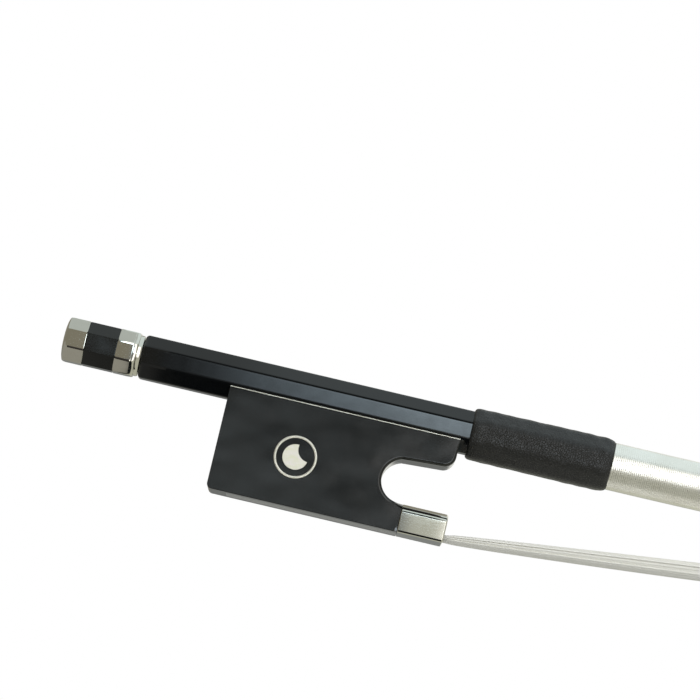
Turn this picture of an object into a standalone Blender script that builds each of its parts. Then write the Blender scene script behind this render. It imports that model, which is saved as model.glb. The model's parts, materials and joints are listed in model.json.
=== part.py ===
"""Violin bow, hair side down, with the head towards +X.

Sizes are in millimetres and degrees, and each mesh is written in metres.
Three frames carry the pieces:
  bow     X runs along the straight line of the hair, from the ferrule to the head, and Z is up.
  handle  X runs along the straight octagonal handle and its screw, from the butt of the stick.
  head    X runs along the face of the head, from its hair end to its nose.
"""
import bisect
import math

import bmesh
import bpy
from mathutils import Matrix, Vector

MM = 0.001

# Hair line
HAIR_LENGTH = 638.0
HAIR_SAG = 5.0
HAIR_SLOPE_AT_HANDLE = 7.6
HAIR_SLOPE_AT_FACE = 18.35

# Straight stretches of the free hair's sag, and which of them lies on the table, below the bow's balance point
HAIR_STRETCHES = 6
REST_STRETCH = 2

# Stick
HANDLE_FLATS = 8.5
STRAIGHT_HANDLE = 100.0
OCTAGON_END = 112.0
ROUND_START = 210.0
TIP_DIAMETER = 5.3
NECK_THICKNESS = 5.65
NECK_SLOPE = 7.1
TAPER_END_SHARE = 0.9
HANDLE_RING_SPACING = 11.0
SHAFT_RING_SPACING = 19.0
CAMBER_LOW_SHARE = 0.5
CAMBER_LOW_HEIGHT = 1.8
CAMBER_HANDLE_PULL = 95.0
CAMBER_MID_PULL = 108.0
CAMBER_HEAD_PULL = 95.0
BUTT_OVERHANG = 1.5
BUTT_CHAMFER = 1.1
NIPPLE_LENGTH = 2.0
NIPPLE_RADIUS = 3.1
NIPPLE_CHAMFER = 0.3

# Head, in its own frame
HEAD_HEIGHT = 26.1
NECK_AHEAD = 7.5
FACE_LENGTH = 25.2
FACE_WIDTH = 10.2
CHEEK_WIDTH = 5.7
FACE_FLARE = 3.0
HEAD_MORTISE_START = 3.6
HEAD_MORTISE_END = 10.6
HEAD_MORTISE_WIDTH = 5.6
HEAD_MORTISE_DEPTH = 5.4
HEAD_KNOT_ROOM = 2.6
PLUG_TAPER = 1.0

# Tip plate
PLATE_HOLE_INSET = 0.4
PLATE_THICKNESS = 1.0
PLATE_HEEL_THICKNESS = 0.7
PLATE_NOSE_LENGTH = 1.6
PLATE_NOSE_RISE = 2.4

# Frog
FROG_REAR = 16.7
FROG_FRONT = 62.4
FROG_TOP = 2.0
FROG_DEPTH = 22.4
FROG_TOP_WIDTH = 9.4
FROG_BOTTOM_WIDTH = 12.8
FROG_HEEL_RADIUS = 1.0
NOTCH_CENTRE = 53.5
NOTCH_DEPTH = 12.5
NOTCH_RADIUS = 4.3
TONGUE_DEPTH = 7.9
TONGUE_TIP_RADIUS = 2.3

# Ferrule
FERRULE_REAR = 54.4
FERRULE_LENGTH = 9.1
FERRULE_WIDTH = 12.6
FERRULE_HEIGHT = 5.9
FERRULE_SHOULDER = 1.9
FERRULE_WALL = 0.45
FERRULE_CORNER = 0.5
FERRULE_EDGE = 0.12
SHOULDER_LENGTH = 4.0
SHOULDER_RISE = 2.3
TONGUE_ROOT = 1.5
TONGUE_SETBACK = 0.6
WEDGE_START = 3.6
WEDGE_SETBACK = 0.5

# Hair channel and slide in the bottom of the frog
SLIDE_START = 20.5
SLIDE_WIDTH = 8.4
SLIDE_DOVETAIL = 0.35
PEARL_THICKNESS = 0.9
BACKING_THICKNESS = 0.55
CHANNEL_HEIGHT = 1.5
FROG_MORTISE_START = 40.0
FROG_MORTISE_END = 48.5
FROG_MORTISE_WIDTH = 6.4
FROG_MORTISE_DEPTH = 6.2
FROG_PLUG_FOOT = 5.6
FROG_PLUG_TOP = 3.2

# Eyes on the two sides of the frog
EYE_ALONG = 32.1
EYE_DEPTH = 12.7
EYE_RING_RADIUS = 4.22
EYE_RING_WIDTH = 0.5
EYE_PEARL_RADIUS = 2.5
EYE_BITE_RADIUS = 2.42
EYE_BITE_ALONG = 2.63
EYE_BITE_UP = 1.94
EYE_INLAY_DEPTH = 0.6

# Lining and its screws
LINING_THICKNESS = 0.45
LINING_SCREW_REAR = 22.5
LINING_SCREW_FRONT = 46.5
LINING_SCREW_HEAD = 1.2
LINING_SCREW_SHANK = 0.6
LINING_SCREW_LENGTH = 3.0

# Screw, eyelet and button
SCREW_RADIUS = 1.5
SCREW_TIP = 60.5
SCREW_BORE_END = 62.0
SCREW_POINT = 1.0
TANG_START = 11.0
TANG_WIDTH = 2.2
EYELET_ALONG = 33.0
EYELET_LENGTH = 4.6
EYELET_RADIUS = 2.3
EYELET_SHANK_RADIUS = 1.4
EYELET_SHANK_DEPTH = 11.5
TRAVEL_TO_BUTTON = 6.0
TRAVEL_TO_GRIP = 1.2
BUTTON_FLATS = 8.5
BUTTON_END = 17.1
BUTTON_CROWN = 0.75
CAP_WALL = 0.6
OUTER_RING_LENGTH = 4.5
BAND_LENGTH = 6.1
BAND_STEP = 0.06
COLLAR_LENGTH = 0.8
COLLAR_SHOULDER = 0.95
COLLAR_RADIUS = 4.05
SPIGOT_RADIUS = 3.3
RING_PIN_RADIUS = 0.35
RING_PIN_LENGTH = 1.6
RING_PIN_STAND = 0.02

# Grip and winding
GRIP_START = 64.0
GRIP_LENGTH = 28.0
GRIP_WALL = 0.8
GRIP_SWELL = 0.12
WINDING_LENGTH = 76.0
WINDING_TURNS = 24
WINDING_GAP = 0.5
WIRE_THICKNESS = 0.38

# Hair ribbon
RIBBON_WIDTH = 10.2
RIBBON_HEAD_WIDTH = 8.6
RIBBON_MORTISE_WIDTH = 5.0
RIBBON_THICKNESS = 1.3
RIBBON_BELLY = 2.4
RIBBON_FLUTE = 0.16
RIBBON_HOLLOW = 0.06
KNOT_THICKNESS = 1.9
KNOT_HEADROOM = 0.25

# Clearances
SLIDING_GAP = 0.1
SEAT_GAP = 0.04
END_GAP = 0.1
SOFT_GAP = 0.3

# Facets
SIDES = 16
ROUND_SIDES = 24


def smooth(value):
    """Ease from 0 to 1, flat at both ends."""
    t = min(1.0, max(0.0, value))
    return t * t * (3.0 - 2.0 * t)


def mix(low, high, share):
    return low + (high - low) * share


def octagon_reach(angle):
    """Distance to the side of an octagon with unit half flats, a flat facing each eighth turn."""
    eighth = math.pi / 4
    off = (angle + eighth / 2) % eighth - eighth / 2
    return 1.0 / math.cos(off)


def round_octagon(count, roundness):
    """Unit points (up, across) of an octagon that softens to a circle."""
    points = []
    for index in range(count):
        angle = 2 * math.pi * index / count
        reach = mix(octagon_reach(angle), 1.0, roundness)
        points.append((reach * math.cos(angle), reach * math.sin(angle)))
    return points


def mirrored(half):
    """A closed list of (up, across) points from the half between its two points on the middle line."""
    return half + [(up, -across) for up, across in reversed(half[1:-1])]


# Frames

def handle_to_bow(along, across, up):
    """A point of the handle frame in the bow frame."""
    tilt = math.radians(HAIR_SLOPE_AT_HANDLE)
    hair_up = -(FROG_DEPTH - FERRULE_WALL - SLIDING_GAP - RIBBON_THICKNESS / 2)
    u = along - (FERRULE_REAR + FERRULE_LENGTH)
    w = up - hair_up
    return Vector((u * math.cos(tilt) + w * math.sin(tilt), across, w * math.cos(tilt) - u * math.sin(tilt)))


def head_to_bow(along, across, up):
    """A point of the head frame in the bow frame."""
    tilt = math.radians(HAIR_SLOPE_AT_FACE)
    w = up + PLATE_HEEL_THICKNESS + SLIDING_GAP + RIBBON_THICKNESS / 2
    return Vector((HAIR_LENGTH + along * math.cos(tilt) - w * math.sin(tilt), across,
                   along * math.sin(tilt) + w * math.cos(tilt)))


def add_empty(name, parent=None, at=None, pitch=0.0):
    """An empty at a point in millimetres, pitched nose down by an angle in degrees."""
    empty = bpy.data.objects.new(name, None)
    empty.empty_display_size = 0.01
    bpy.context.scene.collection.objects.link(empty)
    empty.parent = parent
    if at is not None:
        empty.location = at * MM
    empty.rotation_euler = (0.0, math.radians(pitch), 0.0)
    return empty


# Meshes

def finish(name, colour, roughness, metallic=0.0):
    """A Principled material."""
    material = bpy.data.materials.new(name)
    material.use_nodes = True
    shader = material.node_tree.nodes["Principled BSDF"]
    shader.inputs["Base Color"].default_value = (*colour, 1.0)
    shader.inputs["Roughness"].default_value = roughness
    shader.inputs["Metallic"].default_value = metallic
    material.diffuse_color = (*colour, 1.0)
    return material


def add_piece(name, points, faces, parent, material=None, sharp=None):
    """A closed piece from points in millimetres; without a material it is a cutter."""
    mesh = bpy.data.meshes.new(name)
    shape = bmesh.new()
    corners = [shape.verts.new(Vector(point) * MM) for point in points]
    for face in faces:
        shape.faces.new([corners[index] for index in face])
    bmesh.ops.recalc_face_normals(shape, faces=shape.faces)
    shape.to_mesh(mesh)
    shape.free()
    piece = bpy.data.objects.new(name, mesh)
    bpy.context.scene.collection.objects.link(piece)
    piece.parent = parent
    if material is None:
        piece.hide_render = True
        piece.display_type = "WIRE"
    else:
        mesh.materials.append(material)
    if sharp is not None:
        mesh.shade_smooth()
        mesh.set_sharp_from_angle(angle=math.radians(sharp))
    return piece


def loft(rings, closed=False):
    """Points and faces of a skin over rings of equal counts, capped at its ends or joined round."""
    count = len(rings[0])
    points = [point for ring in rings for point in ring]
    faces = []
    spans = len(rings) if closed else len(rings) - 1
    for span in range(spans):
        first = span * count
        second = ((span + 1) % len(rings)) * count
        for index in range(count):
            following = (index + 1) % count
            faces.append((first + index, first + following, second + following, second + index))
    if not closed:
        faces.append(tuple(reversed(range(count))))
        faces.append(tuple(range(len(points) - count, len(points))))
    return points, faces


def prism(outline, half_width):
    """An outline of (along, up) points, extruded across by a half width or a half width for each height."""
    reach = half_width if callable(half_width) else lambda up: half_width
    near = [(along, -reach(up), up) for along, up in outline]
    far = [(along, reach(up), up) for along, up in outline]
    return loft([near, far])


def turned(profile, sides=ROUND_SIDES):
    """A solid of revolution about the along axis, from (along, radius) pairs."""
    rings = []
    for along, radius in profile:
        rings.append([(along, radius * math.sin(2 * math.pi * k / sides),
                       radius * math.cos(2 * math.pi * k / sides)) for k in range(sides)])
    return loft(rings)


def upright(profile, along, sides=ROUND_SIDES):
    """A solid of revolution about the up axis, from (up, radius) pairs."""
    rings = []
    for up, radius in profile:
        rings.append([(along + radius * math.cos(2 * math.pi * k / sides),
                       radius * math.sin(2 * math.pi * k / sides), up) for k in range(sides)])
    return loft(rings)


def arc(centre, radius, start, end, steps):
    """Points on a circle between two angles in degrees."""
    points = []
    for step in range(steps + 1):
        angle = math.radians(mix(start, end, step / steps))
        points.append((centre[0] + radius * math.cos(angle), centre[1] + radius * math.sin(angle)))
    return points


def boolean(piece, tool, operation="DIFFERENCE"):
    modifier = piece.modifiers.new(tool.name, "BOOLEAN")
    modifier.operation = operation
    modifier.solver = "EXACT"
    modifier.object = tool


# Centre line of the stick

def bezier(knots, share):
    a, b, c, d = knots
    rest = 1.0 - share
    return (a * rest ** 3 + b * (3 * share * rest ** 2)
            + c * (3 * share ** 2 * rest) + d * share ** 3)


def camber_line():
    """Points of the stick's middle from the end of the straight handle to the neck of the head."""
    start = handle_to_bow(STRAIGHT_HANDLE, 0, 0)
    slope = math.radians(HAIR_SLOPE_AT_HANDLE)
    leave = Vector((math.cos(slope), 0, -math.sin(slope)))
    back, throat = head_outline()[0]
    end = head_to_bow((back[0] + throat[0]) / 2, 0, (back[1] + throat[1]) / 2)
    rise = math.radians(HAIR_SLOPE_AT_FACE - NECK_SLOPE)
    arrive = Vector((math.cos(rise), 0, math.sin(rise)))
    low = Vector((mix(start.x, end.x, CAMBER_LOW_SHARE), 0, CAMBER_LOW_HEIGHT))
    flat = Vector((CAMBER_MID_PULL, 0, 0))
    first = (start, start + leave * CAMBER_HANDLE_PULL, low - flat, low)
    second = (low, low + flat, end - arrive * CAMBER_HEAD_PULL, end)
    steps = 60
    line = [bezier(first, step / steps) for step in range(steps)]
    line += [bezier(second, step / steps) for step in range(steps + 1)]
    return line


def through(points, steps):
    """A smooth curve through the points, with its ends left straight."""
    places = [Vector(point) for point in points]
    places = [2 * places[0] - places[1]] + places + [2 * places[-1] - places[-2]]
    curve = []
    for a, b, c, d in zip(places, places[1:], places[2:], places[3:]):
        for step in range(steps):
            t = step / steps
            curve.append(0.5 * (2 * b + (c - a) * t + (2 * a - 5 * b + 4 * c - d) * t ** 2
                                + (3 * b - a - 3 * c + d) * t ** 3))
    return curve + [places[-2]]


def head_outline():
    """Pairs of (back, throat) points in the head frame, from the neck to the face."""
    tall = HEAD_HEIGHT
    long = FACE_LENGTH
    lean = math.tan(math.radians(NECK_SLOPE))
    neck = (-NECK_AHEAD, tall - NECK_THICKNESS)
    marks = [
        ((neck[0] + NECK_THICKNESS * lean, tall), neck),
        ((long - 24.1, tall - 0.9), (-2.6, tall - 6.3)),
        ((long - 16.9, tall - 1.7), (0.6, tall - 7.4)),
        ((long - 13.0, tall - 2.6), (2.4, tall - 8.7)),
        ((long - 10.5, tall - 3.9), (3.4, tall - 10.1)),
        ((long - 9.2, tall - 6.1), (3.55, tall - 12.0)),
        ((long - 8.3, tall - 9.4), (3.4, tall - 14.0)),
        ((long - 8.0, 13.0), (3.1, 10.3)),
        ((long - 7.8, 9.5), (2.6, 8.3)),
        ((long - 7.3, 6.3), (2.1, 6.3)),
        ((long - 6.4, 3.95), (1.4, 4.4)),
        ((long - 4.9, 2.35), (0.8, 2.7)),
        ((long - 2.7, 1.35), (0.4, 1.55)),
        ((long, 1.1), (0.15, 0.7)),
    ]
    back = through([pair[0] for pair in marks], 2)
    throat = through([pair[1] for pair in marks], 2)
    return list(zip(back, throat)) + [(Vector((long, 0.0)), Vector((0.0, 0.0)))]


class Line:
    """The stick's middle line, read by its distance from the butt datum."""

    def __init__(self):
        self.points = camber_line()
        self.marks = [STRAIGHT_HANDLE]
        for before, after in zip(self.points, self.points[1:]):
            self.marks.append(self.marks[-1] + (after - before).length)
        self.length = self.marks[-1]

    def at(self, distance):
        """The point, and the unit direction towards the head."""
        if distance <= STRAIGHT_HANDLE:
            here = handle_to_bow(distance, 0, 0)
            return here, (handle_to_bow(distance + 1, 0, 0) - here).normalized()
        index = min(bisect.bisect_right(self.marks, distance), len(self.marks) - 1)
        span = self.marks[index] - self.marks[index - 1]
        share = (distance - self.marks[index - 1]) / span
        here = self.points[index - 1].lerp(self.points[index], share)
        before = self.points[max(index - 2, 0)]
        after = self.points[min(index + 1, len(self.points) - 1)]
        return here, (after - before).normalized()


LINE = Line()


def stick_half(distance):
    """Half the stick's thickness across its flats."""
    taper_end = TAPER_END_SHARE * LINE.length
    taper = mix(HANDLE_FLATS, TIP_DIAMETER, smooth((distance - STRAIGHT_HANDLE) / (taper_end - STRAIGHT_HANDLE)))
    swell = smooth((distance - taper_end) / (LINE.length - taper_end))
    return mix(taper, NECK_THICKNESS, swell) / 2


def stick_roundness(distance):
    return smooth((distance - OCTAGON_END) / (ROUND_START - OCTAGON_END))


def stick_ring(distance, offset=0.0, extra_round=0.0, sides=SIDES):
    """A ring round the stick, square to its middle line, standing off its flats by an offset."""
    here, along = LINE.at(distance)
    up = Vector((-along.z, 0, along.x))
    roundness = max(stick_roundness(distance), extra_round)
    half = stick_half(distance) + offset
    ring = []
    for rise, across in round_octagon(sides, roundness):
        ring.append(here + up * (rise * half) + Vector((0, across * half, 0)))
    return ring


# Stick and head

def head_section(back, throat, share):
    """A ring of the head between a back point and a throat point, from round neck to flat face."""
    cheek = mirrored([(1.0, 0.0), (0.97, 0.30), (0.80, 0.74), (0.42, 0.96), (0.0, 1.0),
                      (-0.42, 1.0), (-0.77, 0.97), (-1.0, 0.42), (-1.0, 0.0)])
    face = mirrored([(1.0, 0.0), (1.0, 0.27), (0.85, 0.36), (0.40, 0.62), (-0.10, 0.86),
                     (-0.50, 0.97), (-0.86, 1.0), (-1.0, 0.96), (-1.0, 0.0)])
    into_cheek = smooth(share * 5.0)
    into_face = smooth((share - 0.5) * 2.0)
    height = max(0.0, min(back[1], HEAD_HEIGHT)) / HEAD_HEIGHT
    half = mix(mix(NECK_THICKNESS, CHEEK_WIDTH, into_cheek), FACE_WIDTH,
               (1.0 - height) ** FACE_FLARE if share > 0 else 0.0) / 2
    middle = ((back[0] + throat[0]) / 2, (back[1] + throat[1]) / 2)
    reach = ((back[0] - throat[0]) / 2, (back[1] - throat[1]) / 2)
    ring = []
    for plain, full, flat in zip(round_octagon(SIDES, 1.0), cheek, face):
        rise = mix(mix(plain[0], full[0], into_cheek), flat[0], into_face)
        across = mix(mix(plain[1], full[1], into_cheek), flat[1], into_face)
        ring.append(head_to_bow(middle[0] + reach[0] * rise, across * half, middle[1] + reach[1] * rise))
    return ring


def butt_rings():
    """The turned nipple and the chamfered butt, as rings of the octagon's count."""
    start = -BUTT_OVERHANG
    nipple = [(start - NIPPLE_LENGTH, NIPPLE_RADIUS - NIPPLE_CHAMFER),
              (start - NIPPLE_LENGTH + NIPPLE_CHAMFER, NIPPLE_RADIUS), (start, NIPPLE_RADIUS)]
    rings = []
    for along, radius in nipple:
        rings.append([handle_to_bow(along, radius * across, radius * rise)
                      for rise, across in round_octagon(SIDES, 1.0)])
    for share, shrink, roundness in ((0.0, 0.55, 0.5), (0.32, 0.2, 0.25), (1.0, 0.0, 0.0)):
        along = start + BUTT_CHAMFER * share
        half = HANDLE_FLATS / 2 - BUTT_CHAMFER * shrink
        rings.append([handle_to_bow(along, half * across, half * rise)
                      for rise, across in round_octagon(SIDES, roundness)])
    return rings


def build_stick(bow, handle, head, material):
    rings = butt_rings()
    stations = [GRIP_START - SOFT_GAP, STRAIGHT_HANDLE]
    reach = STRAIGHT_HANDLE + HANDLE_RING_SPACING
    while reach < LINE.length - SHAFT_RING_SPACING / 2:
        stations.append(reach)
        reach += HANDLE_RING_SPACING if reach < ROUND_START else SHAFT_RING_SPACING
    rings += [stick_ring(distance) for distance in stations]
    outline = head_outline()
    for index, (back, throat) in enumerate(outline):
        rings.append(head_section(back, throat, index / (len(outline) - 1)))
    stick = add_piece("stick", *loft(rings), bow, material, sharp=22)

    bore = turned([(-BUTT_OVERHANG - NIPPLE_LENGTH - 2, SCREW_RADIUS + SLIDING_GAP),
                   (SCREW_BORE_END, SCREW_RADIUS + SLIDING_GAP)])
    boolean(stick, add_piece("screw_bore_cutter", *bore, handle))

    rear = EYELET_ALONG - EYELET_LENGTH / 2 - TRAVEL_TO_BUTTON - 2 * SOFT_GAP
    front = EYELET_ALONG + EYELET_LENGTH / 2 + TRAVEL_TO_GRIP + 2 * SOFT_GAP
    top = EYELET_RADIUS + SLIDING_GAP * 2
    outline = [(rear, -HANDLE_FLATS), (front, -HANDLE_FLATS), (front, top), (rear, top)]
    slot = prism(outline, EYELET_RADIUS + SLIDING_GAP)
    boolean(stick, add_piece("eyelet_mortise_cutter", *slot, handle))

    outline = [(HEAD_MORTISE_START, -1), (HEAD_MORTISE_END, -1),
               (HEAD_MORTISE_END, HEAD_MORTISE_DEPTH), (HEAD_MORTISE_START, HEAD_MORTISE_DEPTH)]
    mortise = prism(outline, HEAD_MORTISE_WIDTH / 2)
    boolean(stick, add_piece("head_mortise_cutter", *mortise, head))
    return stick


def build_tip_plate(head, material):
    """The plate on the face of the head, with its turned-up nose and the hole for the hair."""
    half = FACE_WIDTH / 2
    long = FACE_LENGTH
    nose = long + PLATE_NOSE_LENGTH
    top = -SEAT_GAP
    under = top - PLATE_THICKNESS
    wall = long + SEAT_GAP
    stations = [
        (0.0, top - PLATE_HEEL_THICKNESS + SEAT_GAP, top, half * 0.96),
        (0.07 * long, under, top, half),
        (0.25 * long, under, top, half * 0.97),
        (0.45 * long, under, top, half * 0.86),
        (0.70 * long, under, top, half * 0.62),
        (0.925 * long, under, top, half * 0.36),
        (wall, under, top, half * 0.29),
        (wall + PLATE_NOSE_LENGTH * 0.05, under, PLATE_NOSE_RISE * 0.8, half * 0.29),
        (wall + PLATE_NOSE_LENGTH * 0.4, under, PLATE_NOSE_RISE, half * 0.27),
        (nose - 0.1, under + 0.1, PLATE_NOSE_RISE, half * 0.24),
        (nose, under + 0.35, PLATE_NOSE_RISE * 0.85, half * 0.21),
    ]
    rings = [[(along, -wide, low), (along, wide, low), (along, wide, high), (along, -wide, high)]
             for along, low, high, wide in stations]
    plate = add_piece("tip_plate", *loft(rings), head, material)
    start = HEAD_MORTISE_START + PLATE_HOLE_INSET
    outline = [(start, -3), (HEAD_MORTISE_END, -3), (HEAD_MORTISE_END, 1), (start, 1)]
    hole = prism(outline, HEAD_MORTISE_WIDTH / 2)
    boolean(plate, add_piece("plate_hole_cutter", *hole, head))
    return plate


def build_head_plug(head, material):
    """The wooden wedge that locks the knot of hair in the head."""
    start = HEAD_MORTISE_START + SEAT_GAP
    end = HEAD_MORTISE_END - HEAD_KNOT_ROOM
    top = HEAD_MORTISE_DEPTH - SEAT_GAP
    outline = [(start, -SEAT_GAP), (end, -SEAT_GAP), (end - PLUG_TAPER, top), (start, top)]
    plug = prism(outline, HEAD_MORTISE_WIDTH / 2 - SEAT_GAP)
    return add_piece("head_plug", *plug, head, material)


# Grip and winding

def build_grip(bow, material):
    """The leather sleeve, which lies on the octagon and rolls in at both ends."""
    end = GRIP_START + GRIP_LENGTH
    stations = [(0.0, 0.35), (0.25, 0.62), (0.9, 0.9), (2.0, 1.0), (GRIP_LENGTH * 0.35, 1.03),
                (GRIP_LENGTH * 0.7, 1.0 + GRIP_SWELL), (GRIP_LENGTH - 3.0, 1.0 + GRIP_SWELL),
                (GRIP_LENGTH - 1.2, 0.95), (GRIP_LENGTH - 0.35, 0.7), (GRIP_LENGTH, 0.35)]
    outer = [stick_ring(GRIP_START + along, GRIP_WALL * share, 0.35) for along, share in stations]
    inner = [stick_ring(distance, SLIDING_GAP) for distance in (end, (GRIP_START + end) / 2, GRIP_START)]
    return add_piece("thumb_grip", *loft(outer + inner, closed=True), bow, material, sharp=40)


def build_winding(bow, material):
    """Silver lapping: one unbroken strip wound on the stick, ending where it began on the octagon."""
    start = GRIP_START + GRIP_LENGTH + SOFT_GAP
    pitch = WINDING_LENGTH / (WINDING_TURNS + 1)
    strip = pitch - WINDING_GAP
    rings = []
    count = WINDING_TURNS * SIDES
    for step in range(count + 1):
        along = start + strip / 2 + pitch * step / SIDES
        ring = []
        for side, offset in ((-0.5, 0.0), (0.5, 0.0), (0.44, 1.0), (-0.44, 1.0)):
            stand = SLIDING_GAP + WIRE_THICKNESS * offset
            ring.append(stick_ring(along + side * strip, stand)[step % SIDES])
        rings.append(ring)
    least = math.inf
    for index, ring in enumerate(rings[:-SIDES]):
        later = rings[index + SIDES]
        least = min(least, (later[0] - ring[1]).length)
    print("wire_winding: least gap between turns %.2f mm over %d turns" % (least, WINDING_TURNS))
    return add_piece("wire_winding", *loft(rings), bow, material, sharp=50)


# Hair

def ribbon_section(width, thickness):
    """Fluted section of the ribbon, crowned above and barely hollow below, as (through, across) points."""
    ribs = 8
    top, playing_side = [], []
    for rib in range(ribs + 1):
        side = 2.0 * rib / ribs - 1.0
        swell = math.sqrt(max(0.0, 1.0 - 0.75 * side * side))
        flute = RIBBON_FLUTE if rib % 2 else 0.0
        hollow = RIBBON_HOLLOW * (1.0 - side * side)
        top.append((thickness / 2 * swell - flute, side * width / 2))
        playing_side.append((flute + hollow - thickness / 2, side * width / 2))
    return top + playing_side[::-1]


def hair_route():
    """Middle points of the hair with its width and thickness, from the frog's mortise to the head's.

    It also returns the place in the list of the station where the stretch on the table starts.
    """
    route = []
    level = -(FROG_DEPTH - PEARL_THICKNESS - BACKING_THICKNESS) + CHANNEL_HEIGHT / 2 + SLIDING_GAP / 2
    inside = -(FROG_DEPTH - FERRULE_WALL - SLIDING_GAP) + RIBBON_THICKNESS / 2
    roof = -(FROG_DEPTH - FROG_MORTISE_DEPTH)
    thin = RIBBON_THICKNESS - SLIDING_GAP
    knot = RIBBON_MORTISE_WIDTH
    high = roof - KNOT_HEADROOM - KNOT_THICKNESS / 2
    frog_points = [
        (FROG_MORTISE_START + 0.5, high, knot, KNOT_THICKNESS),
        (FROG_MORTISE_START + 3.0, high, knot, KNOT_THICKNESS),
        (FROG_MORTISE_START + 5.0, mix(high, level, 0.4), knot, mix(KNOT_THICKNESS, thin, 0.7)),
        (FROG_MORTISE_END - 1.5, mix(high, level, 0.86), knot, thin),
        (FROG_MORTISE_END + 1.0, level, knot + 0.6, thin),
        (FERRULE_REAR - 0.4, level, RIBBON_WIDTH * 0.92, thin),
        (FERRULE_REAR + 3.0, inside, RIBBON_WIDTH, thin),
        (FERRULE_REAR + FERRULE_LENGTH, inside, RIBBON_WIDTH, RIBBON_THICKNESS),
    ]
    for along, up, width, thickness in frog_points:
        route.append((handle_to_bow(along, 0, up), width, thickness))
    rest = len(route) + REST_STRETCH - 2
    for step in range(1, HAIR_STRETCHES):
        share = step / HAIR_STRETCHES
        drop = 4.0 * HAIR_SAG * share * (1.0 - share)
        belly = smooth(share * 5.5) * smooth((1.0 - share) * 6.5)
        route.append((Vector((HAIR_LENGTH * share, 0, -drop)),
                      mix(RIBBON_WIDTH, RIBBON_HEAD_WIDTH, share),
                      mix(RIBBON_THICKNESS, RIBBON_BELLY, belly)))
    under = -(SEAT_GAP + PLATE_THICKNESS + SLIDING_GAP) - RIBBON_THICKNESS / 2
    edge = HEAD_MORTISE_END - SLIDING_GAP - RIBBON_THICKNESS / 2
    head_points = [
        (0.0, -(PLATE_HEEL_THICKNESS + SLIDING_GAP) - RIBBON_THICKNESS / 2 - 0.15, 8.0),
        (0.25 * edge, under - 0.1, 7.4),
        (0.6 * edge, under - 0.05, 6.2),
        (edge - 1.3, under, RIBBON_MORTISE_WIDTH + 0.2),
        (edge - 0.4, under + 0.35, RIBBON_MORTISE_WIDTH),
        (edge, under + 1.2, RIBBON_MORTISE_WIDTH),
        (edge, 0.0, RIBBON_MORTISE_WIDTH),
        (edge - 0.2, 0.5 * HEAD_MORTISE_DEPTH, RIBBON_MORTISE_WIDTH),
        (edge - 0.5, HEAD_MORTISE_DEPTH - 0.4, RIBBON_MORTISE_WIDTH),
    ]
    for along, up, width in head_points:
        route.append((head_to_bow(along, 0, up), width, thin))
    return route, rest


def hair_rings():
    """Rings of the ribbon, and the two of them between which it lies on the table."""
    route, rest = hair_route()
    rings = []
    for index, (here, width, thickness) in enumerate(route):
        before = route[max(index - 1, 0)][0]
        after = route[min(index + 1, len(route) - 1)][0]
        along = (after - before).normalized()
        up = Vector((-along.z, 0, along.x))
        rings.append([here + up * through + Vector((0, across, 0))
                      for through, across in ribbon_section(width, thickness)])
    return rings, rings[rest:rest + 2]


def rest_pitch():
    """How far the bow leans back on its sagging hair, in degrees, to lay the straight stretch level."""
    first, last = [min(ring, key=lambda point: point.z) for ring in hair_rings()[1]]
    return math.degrees(math.atan2(first.z - last.z, last.x - first.x))


def build_hair(bow, material):
    """The ribbon of hair, one fluted solid that turns into both mortises."""
    return add_piece("hair", *loft(hair_rings()[0]), bow, material, sharp=60)


# Frog

def frog_half(up):
    """Half the frog's width at a height, measured up from the middle of the screw."""
    share = (-FROG_TOP - up) / (FROG_DEPTH - FROG_TOP)
    return mix(FROG_TOP_WIDTH, FROG_BOTTOM_WIDTH, share) / 2


def frog_outline():
    """Side outline of the ebony, from the rear top round the heel, the thumb notch and the tongue."""
    heel = arc((FROG_REAR + FROG_HEEL_RADIUS, -FROG_DEPTH + FROG_HEEL_RADIUS), FROG_HEEL_RADIUS, 180, 270, 4)
    end = FERRULE_REAR - SEAT_GAP
    open_angle = math.degrees(math.acos((end - NOTCH_CENTRE) / NOTCH_RADIUS))
    notch = arc((NOTCH_CENTRE, -NOTCH_DEPTH), NOTCH_RADIUS, -open_angle, -255, 14)
    tip = arc((FROG_FRONT - TONGUE_TIP_RADIUS, -TONGUE_DEPTH + TONGUE_TIP_RADIUS), TONGUE_TIP_RADIUS, 270, 360, 6)
    return ([(FROG_REAR, -FROG_TOP)] + heel + [(end, -FROG_DEPTH)] + notch + tip
            + [(FROG_FRONT, -FROG_TOP)])


def d_section(inset):
    """The ferrule's D, flat at the bottom, inset from its outer face."""
    half = FERRULE_WIDTH / 2 - inset
    bottom = -FROG_DEPTH + inset
    top = -FROG_DEPTH + FERRULE_HEIGHT - inset
    corner = max(0.1, FERRULE_CORNER - inset)
    shoulder = FERRULE_SHOULDER
    points = [(half - corner, bottom), (half, bottom + corner)]
    steps = 12
    for step in range(steps + 1):
        angle = math.pi * step / steps
        points.append((half * math.cos(angle), top - shoulder + shoulder * math.sin(angle)))
    points += [(-half, bottom + corner), (-half + corner, bottom)]
    return points


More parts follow.
